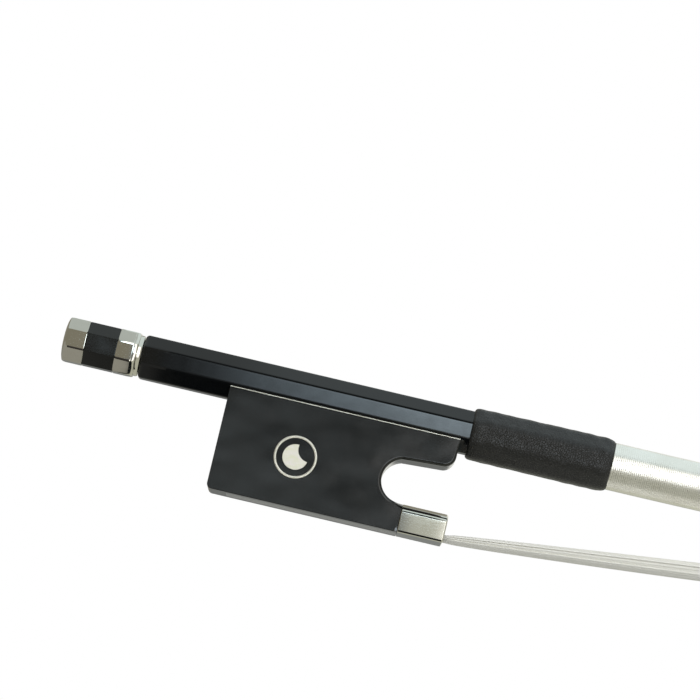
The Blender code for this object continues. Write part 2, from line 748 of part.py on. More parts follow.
def shoulder_cutter():
    """The waste round the ebony's shoulder, which is carved down to the ferrule's D."""
    middle = -FROG_DEPTH + FERRULE_HEIGHT / 2
    section = d_section(SEAT_GAP)
    waste, carved = [], []
    for along, grow in ((FERRULE_REAR - SHOULDER_LENGTH, 1.0), (FERRULE_REAR - SHOULDER_LENGTH / 2, 0.32),
                        (FERRULE_REAR + SHOULDER_LENGTH / 4, 0.0)):
        spread = 1.0 + grow * SHOULDER_RISE / FERRULE_WIDTH
        drop = FERRULE_CORNER + SEAT_GAP
        carved.append([(along, y * spread, z + SHOULDER_RISE * grow if z > middle else z - drop)
                       for y, z in section])
        waste.append([(along, math.copysign(FROG_BOTTOM_WIDTH, y) if abs(y) > FERRULE_WIDTH / 2 * 0.8 else y * 1.5,
                       -NOTCH_DEPTH + SHOULDER_RISE if z > middle else -FROG_DEPTH - SHOULDER_RISE)
                      for y, z in section])
    return loft(waste + carved[::-1], closed=True)


def build_frog_block(frog, material):
    block = add_piece("frog_block", *prism(frog_outline(), frog_half), frog, material, sharp=25)

    boolean(block, add_piece("frog_shoulder_cutter", *shoulder_cutter(), frog))

    tongue_floor = -FROG_DEPTH + PEARL_THICKNESS + BACKING_THICKNESS + CHANNEL_HEIGHT
    tongue = []
    for y, z in d_section(FERRULE_WALL + SEAT_GAP):
        tongue.append((y, max(z, tongue_floor)))
    tongue = tongue[1:-1]
    span = (FERRULE_REAR - TONGUE_ROOT, FERRULE_REAR + FERRULE_LENGTH - TONGUE_SETBACK)
    rings = [[(along, y, z) for y, z in tongue] for along in span]
    boolean(block, add_piece("ferrule_tongue_joiner", *loft(rings), frog), "UNION")

    trough = []
    stand = HANDLE_FLATS / 2 + SLIDING_GAP + LINING_THICKNESS + SEAT_GAP
    for along in (FROG_REAR - 2, FROG_FRONT + 2):
        trough.append([(along, across * stand, rise * stand) for rise, across in round_octagon(8, 0.0)])
    turned_trough = [[(a, *rotated_eighth(y, z)) for a, y, z in ring] for ring in trough]
    boolean(block, add_piece("trough_cutter", *loft(turned_trough), frog))

    groove_top = -FROG_DEPTH + PEARL_THICKNESS + BACKING_THICKNESS + SEAT_GAP
    half = SLIDE_WIDTH / 2 + SEAT_GAP
    rings = [[(along, -half, -FROG_DEPTH - 0.01), (along, half, -FROG_DEPTH - 0.01),
              (along, half + SLIDE_DOVETAIL, groove_top), (along, -half - SLIDE_DOVETAIL, groove_top)]
             for along in (SLIDE_START, FERRULE_REAR + 2)]
    boolean(block, add_piece("slide_groove_cutter", *loft(rings), frog))

    mouth = RIBBON_WIDTH / 2 + SLIDING_GAP * 1.5
    throat = FROG_MORTISE_WIDTH / 2
    rings = []
    for along, reach in ((FROG_MORTISE_END - 0.5, throat - 0.05), (FERRULE_REAR, mouth),
                         (FERRULE_REAR + FERRULE_LENGTH + 1, mouth)):
        rings.append([(along, -reach, groove_top - 0.3), (along, reach, groove_top - 0.3),
                      (along, reach, tongue_floor), (along, -reach, tongue_floor)])
    boolean(block, add_piece("hair_channel_cutter", *loft(rings), frog))

    roof = -FROG_DEPTH + FROG_MORTISE_DEPTH
    outline = [(FROG_MORTISE_START, groove_top - 0.2), (FROG_MORTISE_END, groove_top - 0.2),
               (FROG_MORTISE_END, roof), (FROG_MORTISE_START, roof)]
    boolean(block, add_piece("frog_mortise_cutter", *prism(outline, FROG_MORTISE_WIDTH / 2), frog))

    hole = upright([(-EYELET_SHANK_DEPTH - SOFT_GAP, EYELET_SHANK_RADIUS + SEAT_GAP),
                    (0.0, EYELET_SHANK_RADIUS + SEAT_GAP)], EYELET_ALONG)
    boolean(block, add_piece("eyelet_hole_cutter", *hole, frog))
    for label, along in (("rear", LINING_SCREW_REAR), ("front", LINING_SCREW_FRONT)):
        end = lining_face() - LINING_SCREW_LENGTH - SOFT_GAP
        hole = upright([(end, LINING_SCREW_SHANK + SEAT_GAP), (0.0, LINING_SCREW_SHANK + SEAT_GAP)], along, 12)
        boolean(block, add_piece("screw_hole_%s_cutter" % label, *hole, frog))
    return block


def rotated_eighth(y, z):
    """Turn a cross-section point by a sixteenth turn, which brings an octagon's corners to its flats."""
    angle = math.pi / 8
    reach = 1.0 / math.cos(angle)
    return (reach * (y * math.cos(angle) - z * math.sin(angle)),
            reach * (y * math.sin(angle) + z * math.cos(angle)))


def lining_face():
    """Height of the lining's flat floor under the stick."""
    return -(HANDLE_FLATS / 2 + SLIDING_GAP)


def build_lining(frog, material):
    """The metal lining, which wraps the three lower flats of the handle."""
    inner = HANDLE_FLATS / 2 + SLIDING_GAP
    outer = inner + LINING_THICKNESS
    flat = math.tan(math.pi / 8)
    diagonal = math.sqrt(2.0)
    top = -FROG_TOP + SEAT_GAP
    side = FROG_TOP_WIDTH / 2
    right = [(inner * diagonal + top, top), (side, top), (side, side - outer * diagonal),
             (outer * flat, -outer)]
    left = [(-y, z) for y, z in reversed(right)]
    floor = [(-inner * flat, -inner), (inner * flat, -inner)]
    section = right + left + floor
    rings = [[(along, y, z) for y, z in section]
             for along in (FROG_REAR + SEAT_GAP, FROG_FRONT - SEAT_GAP)]
    lining = add_piece("frog_lining", *loft(rings), frog, material)
    hole = upright([(-HANDLE_FLATS, EYELET_SHANK_RADIUS + SLIDING_GAP),
                    (0.0, EYELET_SHANK_RADIUS + SLIDING_GAP)], EYELET_ALONG)
    boolean(lining, add_piece("lining_hole_cutter", *hole, frog))
    for label, along in (("rear", LINING_SCREW_REAR), ("front", LINING_SCREW_FRONT)):
        hole = upright([(-HANDLE_FLATS, LINING_SCREW_HEAD + SEAT_GAP),
                        (0.0, LINING_SCREW_HEAD + SEAT_GAP)], along, 16)
        boolean(lining, add_piece("lining_screw_%s_cutter" % label, *hole, frog))
    return lining


def build_lining_screws(frog, material):
    face = lining_face() - SEAT_GAP
    seat = lining_face() - LINING_THICKNESS + SEAT_GAP / 2
    for label, along in (("rear", LINING_SCREW_REAR), ("front", LINING_SCREW_FRONT)):
        profile = [(face, LINING_SCREW_HEAD), (seat, LINING_SCREW_HEAD), (seat, LINING_SCREW_SHANK),
                   (face - LINING_SCREW_LENGTH, LINING_SCREW_SHANK * 0.8)]
        add_piece("lining_screw_" + label, *upright(profile, along, 12), frog, material, sharp=40)


def build_eyelet(frog, material):
    """The brass nut: a ring on the screw with a shank screwed down into the frog."""
    ring = turned([(EYELET_ALONG - EYELET_LENGTH / 2, EYELET_RADIUS),
                   (EYELET_ALONG + EYELET_LENGTH / 2, EYELET_RADIUS)])
    eyelet = add_piece("eyelet", *ring, frog, material, sharp=40)
    shank = upright([(-EYELET_SHANK_DEPTH, EYELET_SHANK_RADIUS * 0.85),
                     (-EYELET_SHANK_DEPTH + 0.5, EYELET_SHANK_RADIUS), (-1.6, EYELET_SHANK_RADIUS)],
                    EYELET_ALONG)
    boolean(eyelet, add_piece("eyelet_shank_joiner", *shank, frog), "UNION")
    bore = turned([(EYELET_ALONG - EYELET_LENGTH, SCREW_RADIUS + SLIDING_GAP),
                   (EYELET_ALONG + EYELET_LENGTH, SCREW_RADIUS + SLIDING_GAP)])
    boolean(eyelet, add_piece("eyelet_bore_cutter", *bore, frog))
    return eyelet


def build_slide(frog, pearl, ebony):
    """The dovetailed slide that covers the hair: a pearl face on an ebony backing."""
    start = SLIDE_START + SEAT_GAP
    end = FERRULE_REAR - SEAT_GAP
    slope = SLIDE_DOVETAIL / (PEARL_THICKNESS + BACKING_THICKNESS + SEAT_GAP)
    bottom = -FROG_DEPTH
    joint = bottom + PEARL_THICKNESS
    top = joint + BACKING_THICKNESS
    for name, low, high, material in (("pearl_slide", bottom, joint - SEAT_GAP / 2, pearl),
                                      ("slide_backing", joint + SEAT_GAP / 2, top, ebony)):
        narrow = SLIDE_WIDTH / 2 + slope * (low - bottom)
        broad = SLIDE_WIDTH / 2 + slope * (high - bottom)
        rings = [[(along, -narrow, low), (along, narrow, low), (along, broad, high), (along, -broad, high)]
                 for along in (start, end)]
        add_piece(name, *loft(rings), frog, material)


def build_ferrule(frog, material):
    """The D-shaped ring that holds the ribbon flat, with softened ends."""
    rear = FERRULE_REAR
    front = FERRULE_REAR + FERRULE_LENGTH
    edge = FERRULE_EDGE
    outer = [(rear, edge), (rear + edge, 0.0), (front - edge, 0.0), (front, edge)]
    inner = [(front, FERRULE_WALL), (rear, FERRULE_WALL)]
    rings = [[(along, y, z) for y, z in d_section(inset)] for along, inset in outer + inner]
    return add_piece("ferrule", *loft(rings, closed=True), frog, material, sharp=35)


def build_ferrule_wedge(frog, material):
    """The thin wooden wedge that spreads the ribbon inside the ferrule."""
    hair_top = -(FROG_DEPTH - FERRULE_WALL - SLIDING_GAP) + RIBBON_THICKNESS
    roof = -FROG_DEPTH + PEARL_THICKNESS + BACKING_THICKNESS + CHANNEL_HEIGHT
    rear = FERRULE_REAR + WEDGE_START
    front = FERRULE_REAR + FERRULE_LENGTH - WEDGE_SETBACK
    outline = [(rear, hair_top + SOFT_GAP), (front, hair_top + SEAT_GAP), (front, roof - SEAT_GAP),
               (rear, roof - SLIDING_GAP)]
    wedge = prism(outline, RIBBON_WIDTH / 2)
    return add_piece("ferrule_wedge", *wedge, frog, material)


def build_frog_plug(frog, material):
    """The wooden wedge that locks the knot of hair in the frog."""
    top = -FROG_DEPTH + FROG_MORTISE_DEPTH - KNOT_HEADROOM - KNOT_THICKNESS - SLIDING_GAP
    bottom = -FROG_DEPTH + PEARL_THICKNESS + BACKING_THICKNESS + SEAT_GAP
    start = FROG_MORTISE_START + SEAT_GAP
    outline = [(start, bottom), (FROG_MORTISE_START + FROG_PLUG_FOOT, bottom),
               (FROG_MORTISE_START + FROG_PLUG_TOP, top), (start, top)]
    plug = prism(outline, FROG_MORTISE_WIDTH / 2 - SEAT_GAP)
    return add_piece("frog_plug", *plug, frog, material)


# Eyes

def eye_seat(frog, side):
    """An empty at the middle of an eye, with Z out of the frog's side and X towards the head."""
    name = "eye_seat_left" if side < 0 else "eye_seat_right"
    lean = math.atan2((FROG_BOTTOM_WIDTH - FROG_TOP_WIDTH) / 2, FROG_DEPTH - FROG_TOP)
    seat = add_empty(name, frog, Vector((EYE_ALONG, side * frog_half(-EYE_DEPTH), -EYE_DEPTH)))
    outward = Vector((0, side * math.cos(lean), math.sin(lean)))
    ahead = Vector((1, 0, 0))
    across = outward.cross(ahead)
    seat.rotation_euler = Matrix((ahead, across, outward)).transposed().to_euler()
    return seat


def disc(outline, top, bottom):
    return loft([[(x, y, bottom) for x, y in outline], [(x, y, top) for x, y in outline]])


def ring_disc(outer, inner, top, bottom, sides=32):
    rings = []
    for radius, height in ((outer, bottom), (outer, top), (inner, top), (inner, bottom)):
        rings.append([(radius * math.cos(2 * math.pi * k / sides), radius * math.sin(2 * math.pi * k / sides),
                       height) for k in range(sides)])
    return loft(rings, closed=True)


def moon_outline(side, shrink):
    """A disc with a round bite out of it: the pearl eye's moon."""
    radius = EYE_PEARL_RADIUS - shrink
    bite = EYE_BITE_RADIUS + shrink
    up = EYE_BITE_UP * -side
    gap = math.hypot(EYE_BITE_ALONG, up)
    aim = math.degrees(math.atan2(up, EYE_BITE_ALONG))
    disc_half = math.degrees(math.acos((gap ** 2 + radius ** 2 - bite ** 2) / (2 * gap * radius)))
    bite_half = math.degrees(math.acos((gap ** 2 + bite ** 2 - radius ** 2) / (2 * gap * bite)))
    rim = arc((0, 0), radius, aim + disc_half, aim + 360 - disc_half, 24)
    hollow = arc((EYE_BITE_ALONG, up), bite, aim + 180 + bite_half, aim + 180 - bite_half, 10)
    return rim + hollow[1:-1]


def build_eyes(frog, block, nickel, pearl):
    """An inlaid nickel ring round a pearl moon on each side of the frog."""
    for side, label in ((-1, "left"), (1, "right")):
        seat = eye_seat(frog, side)
        floor = -EYE_INLAY_DEPTH
        outer = EYE_RING_RADIUS
        inner = outer - EYE_RING_WIDTH
        groove = ring_disc(outer + SEAT_GAP, inner - SEAT_GAP, 1.0, floor - SEAT_GAP)
        boolean(block, add_piece("eye_groove_%s_cutter" % label, *groove, seat))
        pocket = disc(moon_outline(side, -SEAT_GAP), 1.0, floor - SEAT_GAP)
        boolean(block, add_piece("eye_pocket_%s_cutter" % label, *pocket, seat))
        add_piece("eye_ring_" + label, *ring_disc(outer, inner, 0.0, floor), seat, nickel, sharp=40)
        add_piece("eye_pearl_" + label, *disc(moon_outline(side, 0.0), 0.0, floor), seat, pearl)


# Screw and button

def octagon_ring(along, flats, roundness=0.0, sides=32):
    return [(along, across * flats / 2, rise * flats / 2) for rise, across in round_octagon(sides, roundness)]


def button_marks():
    """Places along the button: its end, outer ring, band, inner ring and collar, towards the stick."""
    end = -BUTTON_END
    band = end + OUTER_RING_LENGTH
    inner = band + BAND_LENGTH
    collar = -BUTT_OVERHANG - END_GAP
    return end, band, inner, collar


def build_screw(screw, material):
    """The steel screw, with a square tang in the button and a turned point in the far bore."""
    side = TANG_WIDTH / 2
    nipple_face = -BUTT_OVERHANG - NIPPLE_LENGTH
    rings = []
    for along in (-TANG_START, nipple_face):
        ring = []
        for k in range(SIDES):
            angle = 2 * math.pi * k / SIDES
            reach = side / max(abs(math.sin(angle)), abs(math.cos(angle)))
            ring.append((along, reach * math.sin(angle), reach * math.cos(angle)))
        rings.append(ring)
    for along, radius in ((nipple_face + SOFT_GAP, SCREW_RADIUS),
                          (SCREW_TIP - SCREW_POINT, SCREW_RADIUS), (SCREW_TIP, SCREW_RADIUS * 0.4)):
        rings.append([(along, radius * across, radius * rise) for rise, across in round_octagon(SIDES, 1.0)])
    return add_piece("screw_shaft", *loft(rings), screw, material, sharp=40)


def build_button_core(screw, material):
    """The ebony core: an octagonal band with a round spigot for each ring, bored square for the tang."""
    end, band, inner, collar = button_marks()
    flats = BUTTON_FLATS - BAND_STEP
    head = 2 * SPIGOT_RADIUS
    nipple_end = -BUTT_OVERHANG - NIPPLE_LENGTH - END_GAP
    rings = [octagon_ring(end + BUTTON_CROWN + CAP_WALL, head, 1.0), octagon_ring(band + SEAT_GAP / 2, head, 1.0),
             octagon_ring(band + SEAT_GAP / 2, flats), octagon_ring(inner - SEAT_GAP / 2, flats),
             octagon_ring(inner - SEAT_GAP / 2, head, 1.0), octagon_ring(nipple_end, head, 1.0)]
    core = add_piece("button_core", *loft(rings), screw, material, sharp=25)
    half = TANG_WIDTH / 2 + SEAT_GAP
    rings = [[(along, -half, -half), (along, half, -half), (along, half, half), (along, -half, half)]
             for along in (-TANG_START - SEAT_GAP, 0.0)]
    boolean(core, add_piece("tang_cutter", *loft(rings), screw))
    return core


def build_button_rings(screw, core, material):
    """The crowned outer cap, and the inner ring that turns from an octagon into a round collar."""
    end, band, inner, collar = button_marks()
    bore = 2 * (SPIGOT_RADIUS + SEAT_GAP)
    flats = BUTTON_FLATS
    rings = [octagon_ring(end, flats * 0.42, 0.6), octagon_ring(end + BUTTON_CROWN * 0.18, flats * 0.72, 0.45),
             octagon_ring(end + BUTTON_CROWN * 0.5, flats * 0.9, 0.25),
             octagon_ring(end + BUTTON_CROWN, flats * 0.985, 0.05),
             octagon_ring(end + BUTTON_CROWN + 0.3, flats), octagon_ring(band - SEAT_GAP / 2, flats),
             octagon_ring(band - SEAT_GAP / 2, bore, 1.0),
             octagon_ring(end + BUTTON_CROWN + CAP_WALL - SEAT_GAP, bore, 1.0)]
    outer_cap = add_piece("button_cap", *loft(rings), screw, material, sharp=30)

    shoulder = collar - COLLAR_LENGTH - COLLAR_SHOULDER
    neck = 2 * COLLAR_RADIUS
    start = inner + SEAT_GAP / 2
    outer = [octagon_ring(start, flats), octagon_ring(shoulder, flats),
             octagon_ring(mix(shoulder, collar - COLLAR_LENGTH, 0.5), flats * 0.985, 0.35),
             octagon_ring(collar - COLLAR_LENGTH, neck * 0.985, 1.0),
             octagon_ring(collar - COLLAR_LENGTH * 0.7, neck, 1.0),
             octagon_ring(collar - 0.15, neck, 1.0), octagon_ring(collar, neck * 0.96, 1.0)]
    hole = [octagon_ring(collar, bore, 1.0), octagon_ring(start, bore, 1.0)]
    inner_ring = add_piece("button_ring", *loft(outer + hole, closed=True), screw, material, sharp=30)

    middle_cap = mix(end + BUTTON_CROWN, band, 0.55)
    middle_ring = mix(inner, shoulder, 0.5)
    for name, along, side, holder in (("button_cap_pin", middle_cap, -1, outer_cap),
                                      ("button_ring_pin", middle_ring, 1, inner_ring)):
        pin_hole = ring_pin(along, side, RING_PIN_RADIUS + SEAT_GAP, 1.0, RING_PIN_LENGTH + END_GAP)
        cutter = add_piece(name + "_cutter", *pin_hole, screw)
        boolean(holder, cutter)
        boolean(core, cutter)
        pin = ring_pin(along, side, RING_PIN_RADIUS, RING_PIN_STAND, RING_PIN_LENGTH)
        add_piece(name, *pin, screw, material, sharp=40)


def ring_pin(along, side, radius, stand, length):
    """A small pin across the button, from its flat inwards."""
    face = BUTTON_FLATS / 2
    rings = []
    for reach in (face + stand, face - length):
        rings.append([(along + radius * math.cos(2 * math.pi * k / 10), side * reach,
                       radius * math.sin(2 * math.pi * k / 10)) for k in range(10)])
    return loft(rings)


def stand_on_ground(bow):
    """Move the bow so that its lowest point is on the ground and its box is centred on the origin."""
    bpy.context.view_layer.update()
    scene_state = bpy.context.evaluated_depsgraph_get()
    low = Vector((math.inf, math.inf, math.inf))
    high = -low
    for piece in bpy.context.scene.objects:
        if piece.type != "MESH" or piece.hide_render:
            continue
        shape = piece.evaluated_get(scene_state)
        for corner in shape.data.vertices:
            place = shape.matrix_world @ corner.co
            for axis in range(3):
                low[axis] = min(low[axis], place[axis])
                high[axis] = max(high[axis], place[axis])
    bow.location = (-(low.x + high.x) / 2, -(low.y + high.y) / 2, -low.z)


def build():
    for leftover in list(bpy.data.objects):
        bpy.data.objects.remove(leftover, do_unlink=True)

    lacquer = finish("black_lacquer", (0.010, 0.012, 0.013), 0.18)
    ebony = finish("ebony", (0.016, 0.018, 0.019), 0.34)
    nickel = finish("nickel_silver", (0.55, 0.54, 0.49), 0.22, 1.0)
    silver = finish("silver_wire", (0.78, 0.77, 0.74), 0.25, 1.0)
    brass = finish("brass", (0.60, 0.43, 0.16), 0.35, 1.0)
    steel = finish("steel", (0.45, 0.45, 0.45), 0.3, 1.0)
    leather = finish("black_leather", (0.012, 0.012, 0.013), 0.6)
    bone = finish("bone_plastic", (0.55, 0.55, 0.50), 0.35)
    pearl = finish("pearl", (0.78, 0.78, 0.66), 0.2)
    horsehair = finish("horsehair", (0.66, 0.66, 0.52), 0.45)
    maple = finish("maple", (0.55, 0.40, 0.24), 0.6)

    bow = add_empty("bow", pitch=-rest_pitch())
    handle = add_empty("handle", bow, handle_to_bow(0, 0, 0), HAIR_SLOPE_AT_HANDLE)
    head = add_empty("head", bow, head_to_bow(0, 0, 0), -HAIR_SLOPE_AT_FACE)
    frog = add_empty("frog_carriage", handle)
    screw = add_empty("screw_axis", handle)

    build_stick(bow, handle, head, lacquer)
    build_tip_plate(head, bone)
    build_head_plug(head, maple)
    build_grip(bow, leather)
    build_winding(bow, silver)
    build_hair(bow, horsehair)

    block = build_frog_block(frog, ebony)
    build_lining(frog, nickel)
    build_lining_screws(frog, nickel)
    build_eyelet(frog, brass)
    build_slide(frog, pearl, ebony)
    build_ferrule(frog, nickel)
    build_ferrule_wedge(frog, maple)
    build_frog_plug(frog, maple)
    build_eyes(frog, block, nickel, pearl)

    build_screw(screw, steel)
    core = build_button_core(screw, ebony)
    build_button_rings(screw, core, nickel)

    stand_on_ground(bow)


build()
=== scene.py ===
"""The looks of the violin bow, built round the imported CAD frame.

Shapes are in millimetres in three frames that lie in the bow's middle plane, each with X along and Z up:
  HANDLE  X runs along the octagonal handle and its screw, from the butt of the stick.
  BOW     X runs along the straight line of the hair, from the ferrule to the head.
  HEAD    X runs along the face of the head, from its hair end to its nose.
"""

import json
import math

import bpy
import bmesh
import numpy as np
from mathutils import Matrix, Vector


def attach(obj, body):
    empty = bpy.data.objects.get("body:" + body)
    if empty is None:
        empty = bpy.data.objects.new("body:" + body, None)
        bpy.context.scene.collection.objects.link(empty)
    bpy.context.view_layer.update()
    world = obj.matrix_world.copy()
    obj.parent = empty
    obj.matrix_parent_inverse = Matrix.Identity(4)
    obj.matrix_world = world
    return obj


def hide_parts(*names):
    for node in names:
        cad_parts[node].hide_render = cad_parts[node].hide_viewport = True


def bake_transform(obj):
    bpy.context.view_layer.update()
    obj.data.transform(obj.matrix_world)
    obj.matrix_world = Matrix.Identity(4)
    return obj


MM = 0.001

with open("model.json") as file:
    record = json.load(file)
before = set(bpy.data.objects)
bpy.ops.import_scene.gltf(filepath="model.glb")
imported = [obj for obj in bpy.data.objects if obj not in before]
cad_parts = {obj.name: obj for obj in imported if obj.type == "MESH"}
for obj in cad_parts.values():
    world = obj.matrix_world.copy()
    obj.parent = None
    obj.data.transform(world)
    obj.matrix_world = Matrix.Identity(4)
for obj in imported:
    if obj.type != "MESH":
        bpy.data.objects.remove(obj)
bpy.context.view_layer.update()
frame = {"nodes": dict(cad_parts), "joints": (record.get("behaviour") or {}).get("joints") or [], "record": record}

# Sizes of the real bow, the same as in the solids
HANDLE_FLATS = 8.5
STRAIGHT_HANDLE = 100.0
OCTAGON_END = 112.0
ROUND_START = 210.0
TIP_DIAMETER = 5.3
NECK_THICKNESS = 5.65
NECK_SLOPE = 7.1
CAMBER_LOW_SHARE = 0.5
CAMBER_LOW_HEIGHT = 1.8
CAMBER_HANDLE_PULL = 95.0
CAMBER_MID_PULL = 108.0
CAMBER_HEAD_PULL = 95.0
BUTT_OVERHANG = 1.5
BUTT_ROUNDING = 0.75
NIPPLE_LENGTH = 2.0
NIPPLE_RADIUS = 3.1
NIPPLE_CHAMFER = 0.3
FACET_EDGE = 0.75

HAIR_LENGTH = 638.0
HAIR_SAG = 5.0
HAIR_SLOPE_AT_HANDLE = 7.6
HAIR_SLOPE_AT_FACE = 18.35

HEAD_HEIGHT = 26.1
FACE_LENGTH = 25.2
FACE_WIDTH = 10.2
CHEEK_WIDTH = 5.7
FACE_FLARE = 3.0
NECK_CRISPNESS = 14.0
HEAD_CRISPNESS = 44.0
HEAD_MORTISE = (3.6, 10.6)
HEAD_MORTISE_WIDTH = 5.6
HEAD_MORTISE_DEPTH = 5.4
PLATE_THICKNESS = 1.0
PLATE_HEEL_THICKNESS = 0.7
PLATE_NOSE_LENGTH = 1.6
PLATE_NOSE_RISE = 2.4
PLATE_MOUNT_ALONG = 17.0

FROG_REAR = 16.7
FROG_FRONT = 62.4
FROG_TOP = 2.0
FROG_DEPTH = 22.4
FROG_TOP_WIDTH = 9.4
FROG_BOTTOM_WIDTH = 12.8
FROG_HEEL_RADIUS = 1.0
FROG_RIM = 0.14
NOTCH_CENTRE = 53.5
NOTCH_DEPTH = 12.5
NOTCH_RADIUS = 4.3
NOTCH_RIM = 0.6
TONGUE_DEPTH = 7.9
TONGUE_TIP_RADIUS = 2.3

FERRULE_REAR = 54.4
FERRULE_LENGTH = 9.1
FERRULE_WIDTH = 12.6
FERRULE_HEIGHT = 5.9
FERRULE_SHOULDER = 1.9
FERRULE_WALL = 0.45
FERRULE_CORNER = 0.5
SHOULDER_LENGTH = 4.0
SHOULDER_RISE = 2.3

SLIDE_START = 20.5
SLIDE_WIDTH = 8.4
SLIDE_DOVETAIL = 0.35
PEARL_THICKNESS = 0.9
BACKING_THICKNESS = 0.55
CHANNEL_HEIGHT = 1.5
FROG_MORTISE = (40.0, 48.5)
FROG_MORTISE_WIDTH = 6.4
FROG_MORTISE_DEPTH = 6.2
SLIDE_TOP = -FROG_DEPTH + PEARL_THICKNESS + BACKING_THICKNESS
LINING_THICKNESS = 0.45
LINING_SCREWS = (22.5, 46.5)
LINING_SCREW_SHANK = 0.6
LINING_SCREW_LENGTH = 3.0

EYE_ALONG = 32.1
EYE_DEPTH = 12.7
EYE_RING_RADIUS = 4.22
EYE_RING_WIDTH = 0.5
EYE_PEARL_RADIUS = 2.5
EYE_BITE_RADIUS = 2.42
EYE_BITE_ALONG = 2.63
EYE_BITE_UP = 1.94
EYE_INLAY_DEPTH = 0.6

SCREW_RADIUS = 1.5
SCREW_BORE_END = 62.0
EYELET_ALONG = 33.0
EYELET_LENGTH = 4.6
EYELET_RADIUS = 2.3
EYELET_SHANK_RADIUS = 1.4
EYELET_SHANK_DEPTH = 11.5
TRAVEL_TO_BUTTON = 6.0
TRAVEL_TO_GRIP = 1.2
TANG_START = 11.0
TANG_WIDTH = 2.2
SPIGOT_RADIUS = 3.3

BUTTON_FLATS = 8.5
BUTTON_END = 17.1
BUTTON_CROWN = 0.75
OUTER_RING_LENGTH = 4.5
BAND_LENGTH = 6.1
COLLAR_LENGTH = 0.8
COLLAR_SHOULDER = 0.95
COLLAR_RADIUS = 4.05

GRIP_START = 64.0
GRIP_LENGTH = 28.0
GRIP_WALL = 0.8
GRIP_ROUNDNESS = 0.42
GRIP_UNEVENNESS = 0.0016
WINDING_LENGTH = 76.0
WIRE_THICKNESS = 0.38
WIRE_ROUNDNESS = 0.6
WIRE_STAND_OFF = 0.03

RIBBON_WIDTH = 10.2
RIBBON_HEAD_WIDTH = 8.6
RIBBON_MORTISE_WIDTH = 5.0
RIBBON_THICKNESS = 1.3
SPREAD_BELLY = 3.5
SPREAD_REACH = 48.0
SPREAD_DROP = 0.05
STRANDS = 230
STRAND_RADIUS = 0.13
STRAND_WANDER_ACROSS = 0.12
STRAND_WANDER_UP = 0.05
CORE_INSET_ACROSS = 0.2
CORE_INSET_UP = 0.14

SLIDING_GAP = 0.1
SEAT_GAP = 0.04
END_GAP = 0.1
SOFT_GAP = 0.3

# Places along the button, the reach of its octagon's corners, and a radius at which a lathe leaves it uncut
CAP_END = -BUTTON_END
DOME_LENGTH = BUTTON_CROWN * 1.25
DOME_END = CAP_END + DOME_LENGTH
SPIGOT_END = CAP_END + BUTTON_CROWN + 0.6
BAND_START = CAP_END + OUTER_RING_LENGTH
RING_START = BAND_START + BAND_LENGTH
COLLAR_END = -BUTT_OVERHANG - END_GAP
SHOULDER_START = COLLAR_END - COLLAR_LENGTH - COLLAR_SHOULDER
BUTTON_HALF = BUTTON_FLATS / 2
BUTTON_CORNER = BUTTON_HALF / math.cos(math.pi / 8)
UNCUT = 6.0
RING_BORE = SPIGOT_RADIUS + SEAT_GAP
RING_EDGE = 0.09

# Where the photo shows the handle, in pixels of its 700 x 700 frame
PHOTO_SIZE = 700
BUTT_PIXEL = (149.65, 358.5)
PIXELS_PER_MM = 5.14
HANDLE_SLOPE_IN_PHOTO = 13.15
CAMERA_DISTANCE = 0.8
CAMERA_ELEVATION = -6.5
SENSOR = 36.0


# Frames

def square_up(along):
    """The direction up from a line that runs along the bow's middle plane."""
    return Vector((-along.z, 0, along.x))


class Frame:
    """A frame in the bow's middle plane, with places read and given in millimetres."""

    def __init__(self, origin, along):
        self.origin = origin
        self.along = along.normalized()
        self.up = square_up(self.along)

    def at(self, along, across, up):
        return self.origin + (self.along * along + self.up * up) * MM + Vector((0, across * MM, 0))

    def read(self, place):
        offset = (place - self.origin) / MM
        return Vector((offset.dot(self.along), offset.y, offset.dot(self.up)))

    def aim(self, degrees):
        angle = math.radians(degrees)
        return self.along * math.cos(angle) + self.up * math.sin(angle)


def place_and_axis(items, name):
    """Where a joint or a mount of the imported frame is, and which way it points."""
    item = next(item for item in items if item["name"] == name)
    return Vector(item["pos_m"]), Vector(item["axis"])


def head_frame():
    """The head's frame, from the mount on the tip plate."""
    place, axis = place_and_axis(frame["record"]["mounts"], "tip_plate_face")
    up = -axis
    along = Vector((up.z, 0, -up.x))
    thickness = SEAT_GAP + PLATE_THICKNESS
    return Frame(place - (along * PLATE_MOUNT_ALONG - up * thickness) * MM, along)


HANDLE = Frame(*place_and_axis(frame["joints"], "screw_turn"))
HEAD = head_frame()
HAIR_LEVEL_IN_FERRULE = -(FROG_DEPTH - FERRULE_WALL - SLIDING_GAP - RIBBON_THICKNESS / 2)
BOW = Frame(HANDLE.at(FERRULE_REAR + FERRULE_LENGTH, 0, HAIR_LEVEL_IN_FERRULE),
            HANDLE.aim(HAIR_SLOPE_AT_HANDLE))


# Small sums

def smooth(value):
    t = min(1.0, max(0.0, value))
    return t * t * (3.0 - 2.0 * t)


def mix(low, high, share):
    return low + (high - low) * share


def shares(steps):
    """Even steps from 0 to 1, with both ends."""
    return [step / steps for step in range(steps + 1)]


def arc(centre, radius, start, end, steps):
    """Points on a circle between two angles in degrees."""
    angles = [math.radians(mix(start, end, share)) for share in shares(steps)]
    return [(centre[0] + radius * math.cos(angle), centre[1] + radius * math.sin(angle)) for angle in angles]


def circle(sides):
    """Cosine and sine at even steps round a circle."""
    turns = [2 * math.pi * k / sides for k in range(sides)]
    return [(math.cos(turn), math.sin(turn)) for turn in turns]


def quarter(steps):
    """Cosine and sine at even steps over a quarter of a circle, with both its ends."""
    turns = [math.pi / 2 * step / steps for step in range(steps + 1)]
    return [(math.cos(turn), math.sin(turn)) for turn in turns]


